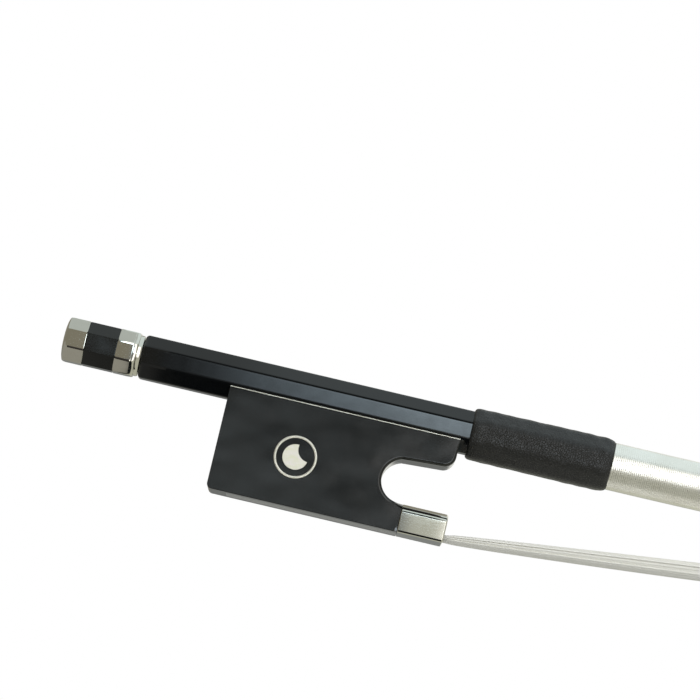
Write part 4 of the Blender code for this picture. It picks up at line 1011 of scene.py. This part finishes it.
def single_hair(frames, number, chance):
    """One hair in its own place across the ribbon, two in three of them near its faces."""
    side = 2.0 * (number + chance.uniform(0.1, 0.9)) / STRANDS - 1.0
    depth = chance.uniform(-1.0, 1.0)
    if number % 3:
        depth = math.copysign(mix(0.86, 1.0, abs(depth)), depth)
    drift = [(chance.uniform(0.2, 1.0), chance.integers(1, 5), chance.uniform(0, 6.28)) for _ in range(3)]
    crown = math.sqrt(max(0.1, 1.0 - 0.8 * side * side))
    section = circle(5)
    rings = []
    for here, up, width, thickness in frames:
        share = min(1.0, max(0.0, here.x / HAIR_LENGTH))
        free = math.sin(math.pi * share) ** 0.5 if 0 < share < 1 else 0.0
        wander = free * sum(size * math.sin(turns * math.pi * share + phase) for size, turns, phase in drift)
        across = side * (width / 2 - STRAND_RADIUS) + wander * STRAND_WANDER_ACROSS
        rise = depth * (thickness / 2 - STRAND_RADIUS) * crown + wander * STRAND_WANDER_UP
        middle = here + up * rise + Vector((0, across, 0))
        ring = []
        for cosine, sine in section:
            side_step = Vector((0, STRAND_RADIUS * sine, 0))
            ring.append(BOW.at(*(middle + up * (STRAND_RADIUS * cosine) + side_step)))
        rings.append(ring)
    return loft(rings)


def make_hair():
    """A ribbon of separate hairs, which the ferrule spreads and the head folds in."""
    chance = np.random.default_rng(11)
    frames = hair_frames()
    points, faces = hair_core(frames)
    for number in range(STRANDS):
        more_points, more_faces = single_hair(frames, number, chance)
        start = len(points)
        points += more_points
        faces += [tuple(start + index for index in face) for face in more_faces]
    hair = piece("horsehairs", points, faces, HORSEHAIR, None, "horsehair", ["hair"], sharp=80, level=False)
    mouth = BOW.at(2.0, 0, 0)
    head = BOW.at(HAIR_LENGTH - 4.0, 0, 0)
    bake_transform(hair)


# Frog

def frog_half(up):
    """Half the frog's width at a height, measured up from the middle of the screw."""
    share = (-FROG_TOP - up) / (FROG_DEPTH - FROG_TOP)
    return mix(FROG_TOP_WIDTH, FROG_BOTTOM_WIDTH, share) / 2


def frog_outline():
    """Side outline of the ebony, each point with the rounding of its edge."""
    heel = arc((FROG_REAR + FROG_HEEL_RADIUS, -FROG_DEPTH + FROG_HEEL_RADIUS), FROG_HEEL_RADIUS, 180, 270, 10)
    end = FERRULE_REAR - SEAT_GAP
    open_angle = math.degrees(math.acos((end - NOTCH_CENTRE) / NOTCH_RADIUS))
    notch = arc((NOTCH_CENTRE, -NOTCH_DEPTH), NOTCH_RADIUS, -open_angle, -255, 64)
    tip_centre = (FROG_FRONT - TONGUE_TIP_RADIUS, -TONGUE_DEPTH + TONGUE_TIP_RADIUS)
    tip = arc(tip_centre, TONGUE_TIP_RADIUS, 270, 360, 24)
    outline = [(FROG_REAR, -FROG_TOP, 0.05)]
    outline += [(along, up, FROG_RIM) for along, up in heel]
    outline += [(end, -FROG_DEPTH, FROG_RIM)]
    for index, (along, up) in enumerate(notch):
        outline.append((along, up, mix(0.1, NOTCH_RIM, smooth(index / 14))))
    outline += [(along, up, NOTCH_RIM) for along, up in tip]
    outline += [(FROG_FRONT, -FROG_TOP, 0.05)]
    return outline


def moved_in(outline, share):
    """The outline's points, each moved inwards by a share of its own rounding."""
    points = []
    count = len(outline)
    for index, (along, up, rounding) in enumerate(outline):
        before = outline[index - 1]
        after = outline[(index + 1) % count]
        first = Vector((along - before[0], up - before[1])).normalized()
        second = Vector((after[0] - along, after[1] - up)).normalized()
        normal = Vector((-(first.y + second.y), first.x + second.x))
        step = normal * (rounding * share / max(0.3, 1.0 + first.dot(second)))
        points.append((along + step.x, up + step.y))
    return points


def frog_rings():
    """Rings across the ebony, from one side face to the other, with rounded rims."""
    outline = frog_outline()
    near = []
    for cosine, sine in quarter(5):
        inset = moved_in(outline, 1.0 - sine)
        near.append([(along, frog_half(own_up) - rounding * (1.0 - cosine), up)
                     for (along, up), (_, own_up, rounding) in zip(inset, outline)])
    far = [[(along, -across, up) for along, across, up in ring] for ring in near]
    return near + far[::-1]


def d_section(inset, steps=48):
    """The ferrule's D, flat at the bottom, inset from its outer face, as (across, up) points."""
    half = FERRULE_WIDTH / 2 - inset
    bottom = -FROG_DEPTH + inset
    top = -FROG_DEPTH + FERRULE_HEIGHT - inset
    corner = max(0.1, FERRULE_CORNER - inset)
    points = arc((half - corner, bottom + corner), corner, 270, 360, 6)
    for step in range(steps + 1):
        angle = math.pi * step / steps
        points.append((half * math.cos(angle), top - FERRULE_SHOULDER + FERRULE_SHOULDER * math.sin(angle)))
    points += arc((-half + corner, bottom + corner), corner, 180, 270, 6)
    return points


def shoulder_tool():
    """The waste round the ebony's shoulder, which is carved down to the ferrule's D."""
    middle = -FROG_DEPTH + FERRULE_HEIGHT / 2
    section = d_section(SEAT_GAP)
    waste, carved = [], []
    for share in shares(8):
        along = FERRULE_REAR + mix(-SHOULDER_LENGTH, SHOULDER_LENGTH / 4, share)
        grow = (1.0 - share) ** 2.2
        spread = 1.0 + grow * SHOULDER_RISE / FERRULE_WIDTH
        drop = FERRULE_CORNER + SEAT_GAP
        carved.append([(along, y * spread, z + SHOULDER_RISE * grow if z > middle else z - drop)
                       for y, z in section])
        beside = FERRULE_WIDTH / 2 * 0.8
        waste.append([(along, math.copysign(FROG_BOTTOM_WIDTH, y) if abs(y) > beside else y * 1.5,
                       -NOTCH_DEPTH + SHOULDER_RISE if z > middle else -FROG_DEPTH - SHOULDER_RISE)
                      for y, z in section])
    return loft(placed(waste + carved[::-1], HANDLE), closed=True)


def tongue_joiner():
    """The ebony tongue inside the ferrule, over the hair."""
    floor = SLIDE_TOP + CHANNEL_HEIGHT
    tongue = [(y, max(z, floor)) for y, z in d_section(FERRULE_WALL + SEAT_GAP, 24)]
    tongue = [point for point, before in zip(tongue, [None] + tongue) if point != before]
    tongue = [point for point in tongue if point[1] > floor or abs(point[0]) > FERRULE_WIDTH / 4]
    clean = []
    for point in tongue:
        if not clean or (Vector(point) - Vector(clean[-1])).length > 0.02:
            clean.append(point)
    return bar(clean, FERRULE_REAR - 1.5, FERRULE_REAR + FERRULE_LENGTH - 0.6, HANDLE)


def trough():
    """The octagonal bed that the lining and the stick lie in."""
    stand = HANDLE_FLATS / 2 + SLIDING_GAP + LINING_THICKNESS + SEAT_GAP
    reach = stand / math.cos(math.pi / 8)
    octagon = [(reach * math.sin(math.pi / 4 * (k + 0.5)), reach * math.cos(math.pi / 4 * (k + 0.5)))
               for k in range(8)]
    return bar(octagon, FROG_REAR - 2, FROG_FRONT + 2, HANDLE)


def slide_groove():
    """The dovetail that the pearl slide runs in."""
    top = SLIDE_TOP + SEAT_GAP
    mouth = SLIDE_WIDTH / 2 + SEAT_GAP
    deep = mouth + SLIDE_DOVETAIL
    low = -FROG_DEPTH - 0.01
    dovetail = [(-mouth, low), (mouth, low), (deep, top), (-deep, top)]
    return bar(dovetail, SLIDE_START, FERRULE_REAR + 2, HANDLE)


def hair_channel():
    """The way of the hair from its mortise into the ferrule, spreading as it goes."""
    low = SLIDE_TOP + SEAT_GAP - 0.3
    high = SLIDE_TOP + CHANNEL_HEIGHT
    mouth = RIBBON_WIDTH / 2 + SLIDING_GAP * 1.5
    throat = FROG_MORTISE_WIDTH / 2
    return loft(placed([[(along, -wide, low), (along, wide, low), (along, wide, high), (along, -wide, high)]
                        for along, wide in ((FROG_MORTISE[1] - 0.5, throat - 0.05), (FERRULE_REAR, mouth),
                                            (FERRULE_REAR + FERRULE_LENGTH + 1, mouth))], HANDLE))


def frog_mortise():
    """The pocket that the knot of hair is plugged into."""
    first, last = FROG_MORTISE
    low = SLIDE_TOP + SEAT_GAP - 0.2
    roof = -FROG_DEPTH + FROG_MORTISE_DEPTH
    return prism([(first, low), (last, low), (last, roof), (first, roof)], FROG_MORTISE_WIDTH / 2, HANDLE)


def drilled(along, depth, radius, sides=32):
    """A hole drilled down into the ebony from its trough, to a depth below the screw's middle."""
    return upright([(-depth, radius + SEAT_GAP), (0.0, radius + SEAT_GAP)], along, HANDLE, sides)


def eye_pockets(side):
    """The ring's groove and the moon's pocket in one side of the frog."""
    outer = EYE_RING_RADIUS + SEAT_GAP
    inner = EYE_RING_RADIUS - EYE_RING_WIDTH - SEAT_GAP
    floor = -EYE_INLAY_DEPTH - SEAT_GAP
    groove = ring_profile([(outer, floor), (outer, 1.0), (inner, 1.0), (inner, floor)], side, 96)
    moon = moon_outline(side, -SEAT_GAP)
    return groove, loft([[eye_place(x, y, out, side) for x, y in moon] for out in (floor, 1.0)])


def frog_tools():
    """What is carved off the ebony block, joined to it and cut out of it, in that order."""
    lining_screw_depth = HANDLE_FLATS / 2 + SLIDING_GAP + LINING_SCREW_LENGTH + 0.3
    tools = cuts(shoulder_tool()) + [("UNION", cutter(*tongue_joiner()))]
    tools += cuts(trough(), slide_groove(), hair_channel(), frog_mortise(),
                  drilled(EYELET_ALONG, EYELET_SHANK_DEPTH + 0.3, EYELET_SHANK_RADIUS),
                  *[drilled(along, lining_screw_depth, LINING_SCREW_SHANK, 16) for along in LINING_SCREWS])
    return tools + cuts(*eye_pockets(-1), *eye_pockets(1))


def make_frog():
    """The ebony block, cut out for all that it holds."""
    piece("frog_ebony", *loft(placed(frog_rings(), HANDLE)), EBONY, "frog", "ebony", ["frog_block"],
          frog_tools(), sharp=32)


def make_ferrule():
    """The D-shaped ring that holds the ribbon flat, its two ends softened."""
    rear = FERRULE_REAR
    front = FERRULE_REAR + FERRULE_LENGTH
    soft = 0.16
    outer = [(rear, soft), (rear + 0.05, 0.05), (rear + soft, 0.0), (front - 2.2 * soft, 0.0),
             (front - 1.2 * soft, 0.04), (front - 0.4 * soft, 0.14), (front, 2.2 * soft)]
    rings = [[(along, y, z) for y, z in d_section(inset)]
             for along, inset in outer + [(front, FERRULE_WALL), (rear, FERRULE_WALL)]]
    piece("ferrule_nickel", *loft(placed(rings, HANDLE), closed=True), NICKEL, "frog", "nickel", ["ferrule"],
          sharp=40)


# Eyes

def eye_place(x, y, out, side):
    """A point of the eye: x towards the head, y round from it, and out of the frog's leaning side."""
    lean = math.atan2((FROG_BOTTOM_WIDTH - FROG_TOP_WIDTH) / 2, FROG_DEPTH - FROG_TOP)
    outward = Vector((0, side * math.cos(lean), math.sin(lean)))
    across = outward.cross(Vector((1, 0, 0)))
    place = Vector((EYE_ALONG, side * frog_half(-EYE_DEPTH), -EYE_DEPTH)) + across * y + outward * out
    return HANDLE.at(place.x + x, place.y, place.z)


def ring_profile(profile, side, sides):
    """A ring turned about the eye's own axis, from (radius, out) pairs."""
    rings = [[eye_place(radius * cosine, radius * sine, out, side) for cosine, sine in circle(sides)]
             for radius, out in profile]
    return loft(rings, closed=True)


def moon_outline(side, shrink):
    """A disc with a round bite out of it: the pearl eye's moon."""
    radius = EYE_PEARL_RADIUS - shrink
    bite = EYE_BITE_RADIUS + shrink
    up = EYE_BITE_UP * -side
    gap = math.hypot(EYE_BITE_ALONG, up)
    aim = math.degrees(math.atan2(up, EYE_BITE_ALONG))
    disc_half = math.degrees(math.acos((gap ** 2 + radius ** 2 - bite ** 2) / (2 * gap * radius)))
    bite_half = math.degrees(math.acos((gap ** 2 + bite ** 2 - radius ** 2) / (2 * gap * bite)))
    rim = arc((0, 0), radius, aim + disc_half, aim + 360 - disc_half, 72)
    hollow = arc((EYE_BITE_ALONG, up), bite, aim + 180 + bite_half, aim + 180 - bite_half, 30)
    return rim + hollow[1:-1]


def make_eyes():
    """A nickel ring round a pearl moon on each side, both polished level with the ebony."""
    for side, label in ((-1, "left"), (1, "right")):
        outer = EYE_RING_RADIUS
        inner = EYE_RING_RADIUS - EYE_RING_WIDTH
        profile = [(outer, -EYE_INLAY_DEPTH), (outer, -0.03), (outer - 0.04, 0.012), (inner + 0.04, 0.012),
                   (inner, -0.03), (inner, -EYE_INLAY_DEPTH)]
        piece("eye_ring_nickel_" + label, *ring_profile(profile, side, 128), SATIN, "frog", "nickel",
              ["eye_ring_" + label], sharp=50)
        rings = [[eye_place(x, y, out, side) for x, y in moon_outline(side, shrink)]
                 for shrink, out in ((0.0, -EYE_INLAY_DEPTH), (0.0, -0.03), (0.03, 0.008))]
        piece("eye_moon_pearl_" + label, *loft(rings), PEARL, "frog", "pearl", ["eye_pearl_" + label],
              sharp=50)


# Button

def turned_facets(stations, flats, corner):
    """Rings of an octagonal bar that a lathe has cut to a radius at each station."""
    crispness = 60
    rings = []
    for along, radius in stations:
        ring = []
        for up, across in octagon_section(flats / 2, corner):
            reach = math.hypot(up, across)
            keep = (1.0 + (reach / radius) ** crispness) ** (-1 / crispness)
            ring.append((along, across * keep, up * keep))
        rings.append(ring)
    return rings


def bore_ring(along, radius):
    """A round ring with the octagon's count of points."""
    return [(along, radius * math.sin(angle), radius * math.cos(angle)) for angle in RING_ANGLES]


def make_button_cap():
    """The outer ring, with its domed end."""
    dome = [(CAP_END + DOME_LENGTH * (1 - sine) ** 0.9, max(0.25, BUTTON_CORNER * cosine ** 0.62))
            for cosine, sine in quarter(14)]
    end = BAND_START - SEAT_GAP / 2
    stations = dome[::-1] + [(DOME_END + 0.25, UNCUT), (BAND_START - 0.1, UNCUT),
                             (BAND_START - 0.04, BUTTON_HALF + 0.28), (end, BUTTON_HALF + 0.2)]
    rings = turned_facets(stations, BUTTON_FLATS, RING_EDGE)
    rings += [bore_ring(end, RING_BORE), bore_ring(SPIGOT_END - SEAT_GAP, RING_BORE)]
    piece("button_cap_nickel", *loft(placed(rings, HANDLE)), NICKEL, "screw", "nickel", ["button_cap"],
          sharp=28)


def make_button_ring():
    """The inner ring, turned down over a rounded shoulder to its collar."""
    start = RING_START + SEAT_GAP / 2
    stations = [(start, BUTTON_HALF + 0.2), (start + 0.04, BUTTON_HALF + 0.28), (start + 0.1, UNCUT),
                (SHOULDER_START - 0.1, UNCUT)]
    stations += [(mix(SHOULDER_START, COLLAR_END - COLLAR_LENGTH, sine),
                  mix(COLLAR_RADIUS, BUTTON_CORNER + 0.05, cosine)) for cosine, sine in quarter(20)]
    stations += [(COLLAR_END - back, COLLAR_RADIUS - ease)
                 for back, ease in ((COLLAR_LENGTH * 0.5, 0.02), (0.25, 0.05), (0.08, 0.12), (0.0, 0.24))]
    rings = turned_facets(stations, BUTTON_FLATS, RING_EDGE)
    rings += [bore_ring(COLLAR_END, RING_BORE), bore_ring(start, RING_BORE)]
    piece("button_ring_nickel", *loft(placed(rings, HANDLE), closed=True), NICKEL, "screw", "nickel",
          ["button_ring"], sharp=28)


def make_button_band():
    """The ebony band, with the round spigots that both rings sit on and the square hole of the tang."""
    low = BAND_START + SEAT_GAP / 2
    high = RING_START - SEAT_GAP / 2
    waist = [(low, BUTTON_HALF + 0.22), (low + 0.05, UNCUT), (high - 0.05, UNCUT), (high, BUTTON_HALF + 0.22)]
    rings = [bore_ring(SPIGOT_END, SPIGOT_RADIUS), bore_ring(low, SPIGOT_RADIUS)]
    rings += turned_facets(waist, BUTTON_FLATS - 0.06, 0.12)
    rings += [bore_ring(high, SPIGOT_RADIUS),
              bore_ring(-BUTT_OVERHANG - NIPPLE_LENGTH - END_GAP, SPIGOT_RADIUS)]
    side = TANG_WIDTH / 2 + SEAT_GAP
    start = -TANG_START - SEAT_GAP
    tang = prism([(start, -side), (0.0, -side), (0.0, side), (start, side)], side, HANDLE)
    piece("button_band_ebony", *loft(placed(rings, HANDLE)), EBONY, "screw", "ebony", ["button_core"],
          cuts(tang), sharp=28)


def make_dark_corner_lines():
    """A thin dark line down one lower corner of each ring's octagon."""
    corner = math.radians(180 + 67.5)
    sine, cosine = math.sin(corner), math.cos(corner)
    depth, half_height, half_width = 0.09, 0.11, 0.2
    spans = (("cap", DOME_END + 0.3, BAND_START - 0.1), ("ring", RING_START + 0.1, SHOULDER_START - 0.15))
    for label, first, last in spans:
        rings = []
        for along in (first, last):
            ring = []
            for rise, side in circle(8):
                out = BUTTON_CORNER - depth + half_height * rise
                off = half_width * side
                ring.append((along, out * sine + off * cosine, out * cosine - off * sine))
            rings.append(ring)
        # A thin dark strip laid along that corner of the ring.
        piece("dark_corner_line_" + label, *loft(placed(rings, HANDLE)), DARK_CORNER_LINE, "screw", "nickel", sharp=60)


# CAD nodes that stay, with their real finishes

def refinish():
    """Nickel, brass, steel, pearl, ebony and maple on the small pieces that keep their solids' shape."""
    finishes = {
        LINING: ("frog_lining",),
        NICKEL: ("lining_screw_rear", "lining_screw_front", "button_cap_pin", "button_ring_pin"),
        BRASS: ("eyelet",),
        STEEL: ("screw_shaft",),
        # The slide's pearl is greyer and also carries painted shade for the underside.
        PEARL_WITH_PAINTED_SHADE: ("pearl_slide",),
        EBONY: ("slide_backing",),
        MAPLE: ("ferrule_wedge", "frog_plug", "head_plug"),
    }
    for material, names in finishes.items():
        for name in names:
            mesh = frame["nodes"][name].data
            mesh.materials.clear()
            mesh.materials.append(material)


# Camera, floor and light

def make_camera():
    """The photo's own view of the frog, with the butt of the stick on its pixel."""
    lift = math.radians(CAMERA_ELEVATION)
    forward = Vector((0, math.cos(lift), -math.sin(lift)))
    right = Vector((1, 0, 0))
    up = right.cross(forward)
    slope = math.degrees(math.atan2(-HANDLE.along.dot(up), HANDLE.along.dot(right)))
    roll = Matrix.Rotation(math.radians(HANDLE_SLOPE_IN_PHOTO - slope), 3, forward)
    right, up = roll.inverted() @ right, roll.inverted() @ up
    middle = PHOTO_SIZE / 2
    aim = (HANDLE.origin + right * ((middle - BUTT_PIXEL[0]) / PIXELS_PER_MM * MM)
           + up * ((BUTT_PIXEL[1] - middle) / PIXELS_PER_MM * MM))
    data = bpy.data.cameras.new("camera")
    data.sensor_width = SENSOR
    data.lens = PIXELS_PER_MM / MM * SENSOR * CAMERA_DISTANCE / PHOTO_SIZE
    data.clip_start = 0.01
    data.clip_end = 100.0
    camera = shown("camera", data)
    axes = Matrix((right, up, -forward)).transposed()
    camera.matrix_world = Matrix.Translation(aim - forward * CAMERA_DISTANCE) @ axes.to_4x4()
    bpy.context.scene.camera = camera


def share_of(tree, value, low, high):
    """0 to 1 as the value goes from low to high, easing at both ends."""
    return add(tree, "ShaderNodeMapRange", value, low, high,
               props={"interpolation_type": "SMOOTHSTEP"}).outputs[0]


def along_axis(tree, way, axis, offset=0.0):
    """How far a direction leans along an axis."""
    dot = add(tree, "ShaderNodeVectorMath", way, tuple(axis), props={"operation": "DOT_PRODUCT"})
    return joined(tree, "ADD", dot.outputs["Value"], -offset)


def fade(tree, value, low, high, first, last):
    """A colour that goes from the first to the last as the value goes from low to high."""
    return blend(tree, share_of(tree, value, low, high), first, last)


def room_colour(tree, across, height, depth):
    """A pale room, its wall darker towards the button and its ceiling paler towards the grip."""
    near_wall = fade(tree, across, 0.03, 0.05, "#928e80", "#f2f2ea")
    wall = fade(tree, across, 0.25, 0.5, near_wall, "#cbcac0")
    ceiling = fade(tree, across, -0.03, -0.01, "#cfd7d6", "#f0fdff")
    above = fade(tree, height, 0.5, 0.85, wall, ceiling)
    floor = fade(tree, across, -0.05, 0.03, "#a8a69e", "#cbccbd")
    horizon = fade(tree, depth, 0.3, 0.7, "#a8a69e", "#868885")
    below = fade(tree, height, -0.12, -0.3, horizon, floor)
    return fade(tree, height, -0.01, -0.05, above, below)


def flag_colour(tree, across, height):
    """The flag: pale grey at its foot, dark above it, and near black on the skirt below."""
    foot = fade(tree, across, 0.008, 0.02, "#878b8c", "#cdcfc6")
    upper = fade(tree, across, 0.0, 0.02, "#5f6466", "#1c2123")
    face = fade(tree, height, 0.14, 0.24, foot, upper)
    return fade(tree, height, 0.0, -0.1, face, "#15191a")


def studio_glow(tree):
    """What polished pieces see, set square to the handle: a pale room, a dark flag with a skirt that hangs
    in front of the frog, a low window beside the flag that brightens towards the grip, and a bright wall
    that the grip and the winding see."""
    way = add(tree, "ShaderNodeTexCoord").outputs["Generated"]
    sight = math.sin(math.radians(-CAMERA_ELEVATION)) * HANDLE.along.z
    across = along_axis(tree, way, HANDLE.along, sight)
    height = along_axis(tree, way, HANDLE.up)
    depth = along_axis(tree, way, (0, 1, 0))

    def ease(value, low, high):
        return share_of(tree, value, low, high)

    def both(*values):
        return joined(tree, "MULTIPLY", *values)

    left_edge = ease(across, -0.0505, -0.0465)
    front_half = ease(depth, 0.06, -0.02)
    flag = both(left_edge, ease(across, 0.045, 0.035), front_half, ease(height, 0.93, 0.86))
    skirt = both(left_edge, ease(across, 0.07, 0.064), front_half, ease(height, -0.03, -0.1))
    front = blend(tree, joined(tree, "MAXIMUM", flag, skirt), room_colour(tree, across, height, depth),
                  flag_colour(tree, across, height))

    window = both(ease(height, 0.09, 0.098), ease(height, 0.18, 0.14), ease(depth, -0.5, -0.8),
                  ease(across, 0.3, 0.2))
    near_butt = between(tree, ease(across, -0.037, -0.0145), 0.0, 2.8)
    near_grip = between(tree, ease(across, -0.02, 0.028), 0.0, 3.6)
    daylight = both(window, joined(tree, "ADD", near_butt, near_grip))
    glimmer = both(ease(height, 0.16, 0.2), ease(height, 0.31, 0.2), flag, ease(across, 0.045, -0.015), 1.3)
    wall = both(ease(height, -0.25, -0.12), ease(height, 0.74, 0.5), ease(across, 0.035, 0.055),
                ease(across, 0.5, 0.25), ease(depth, 0.3, -0.1), 1.6)
    glow = add(tree, "ShaderNodeBackground", front, 1.0)
    for tint, strength in (("#ddf2ff", daylight), ("#e8f2f4", glimmer), ("#ffffff", wall)):
        lamp = add(tree, "ShaderNodeBackground", colour(tint), strength)
        glow = add(tree, "ShaderNodeAddShader", glow.outputs[0], lamp.outputs[0])
    return glow


def make_world():
    """Pure white behind the bow, an even light on it, and a studio for polished pieces to reflect."""
    world = bpy.data.worlds.new("studio")
    world.use_nodes = True
    tree = world.node_tree
    tree.nodes.clear()
    rays = add(tree, "ShaderNodeLightPath")
    way = add(tree, "ShaderNodeTexCoord").outputs["Generated"]
    strength = between(tree, share_of(tree, along_axis(tree, way, (0, 0, 1)), 0.2, 0.7), 1.6, 0.85)
    even = add(tree, "ShaderNodeBackground", colour("#f4f5f5"), strength)
    white = add(tree, "ShaderNodeBackground", colour("#ffffff"), 1.0)
    mirrored_room = add(tree, "ShaderNodeMixShader", rays.outputs["Is Glossy Ray"], even.outputs[0],
                        studio_glow(tree).outputs[0])
    seen = add(tree, "ShaderNodeMixShader", rays.outputs["Is Camera Ray"], mirrored_room.outputs[0],
               white.outputs[0])
    add(tree, "ShaderNodeOutputWorld", Surface=seen.outputs[0])
    bpy.context.scene.world = world


def make_floor():
    """A white table well below the bow, which keeps its soft shadow and isn't mirrored in polished pieces."""
    radius = 60.0
    level = -0.45
    sides = 96
    mesh = bpy.data.meshes.new("table")
    mesh.from_pydata([Vector((radius * cosine, radius * sine, level)) for cosine, sine in circle(sides)], [],
                     [tuple(range(sides))])
    material, tree, places = new_material("white_table")
    tone = blend(tree, speckle(tree, places, 40.0), "#fbfbfb", "#ffffff")
    matte = add(tree, "ShaderNodeBsdfDiffuse", Color=colour("#bcbcba")).outputs[0]
    glow = add(tree, "ShaderNodeEmission", Color=tone, Strength=0.85).outputs[0]
    lit = add(tree, "ShaderNodeAddShader", matte, glow).outputs[0]
    clear = add(tree, "ShaderNodeBsdfTransparent").outputs[0]
    rays = add(tree, "ShaderNodeLightPath").outputs
    seen = add(tree, "ShaderNodeMixShader", rays["Is Camera Ray"], matte, lit).outputs[0]
    mesh.materials.append(close(material, "ShaderNodeMixShader", rays["Is Glossy Ray"], seen, clear))
    table = shown("table", mesh)


def make_lamp():
    """A wide lamp overhead, for the shadow on the table. The reflections come from the world."""
    data = bpy.data.lights.new("ceiling", "AREA")
    data.shape = "RECTANGLE"
    data.size = 2.4
    data.size_y = 1.2
    data.energy = 6.0
    frog = HANDLE.at(40.0, 0, -10.0)
    lamp = shown("ceiling", data)
    lamp.location = frog + Vector((0.0, 0.1, 1.6))
    lamp.rotation_mode = "QUATERNION"
    lamp.rotation_quaternion = (frog - lamp.location).to_track_quat("-Z", "Y")
    lamp.visible_glossy = False


make_stick()
make_tip_plate()
make_grip()
make_winding()
make_hair()
make_frog()
make_ferrule()
make_eyes()
make_button_cap()
make_button_ring()
make_button_band()
make_dark_corner_lines()
refinish()
make_floor()
make_world()
make_lamp()
make_camera()
bpy.context.scene.view_settings.view_transform = "Standard"
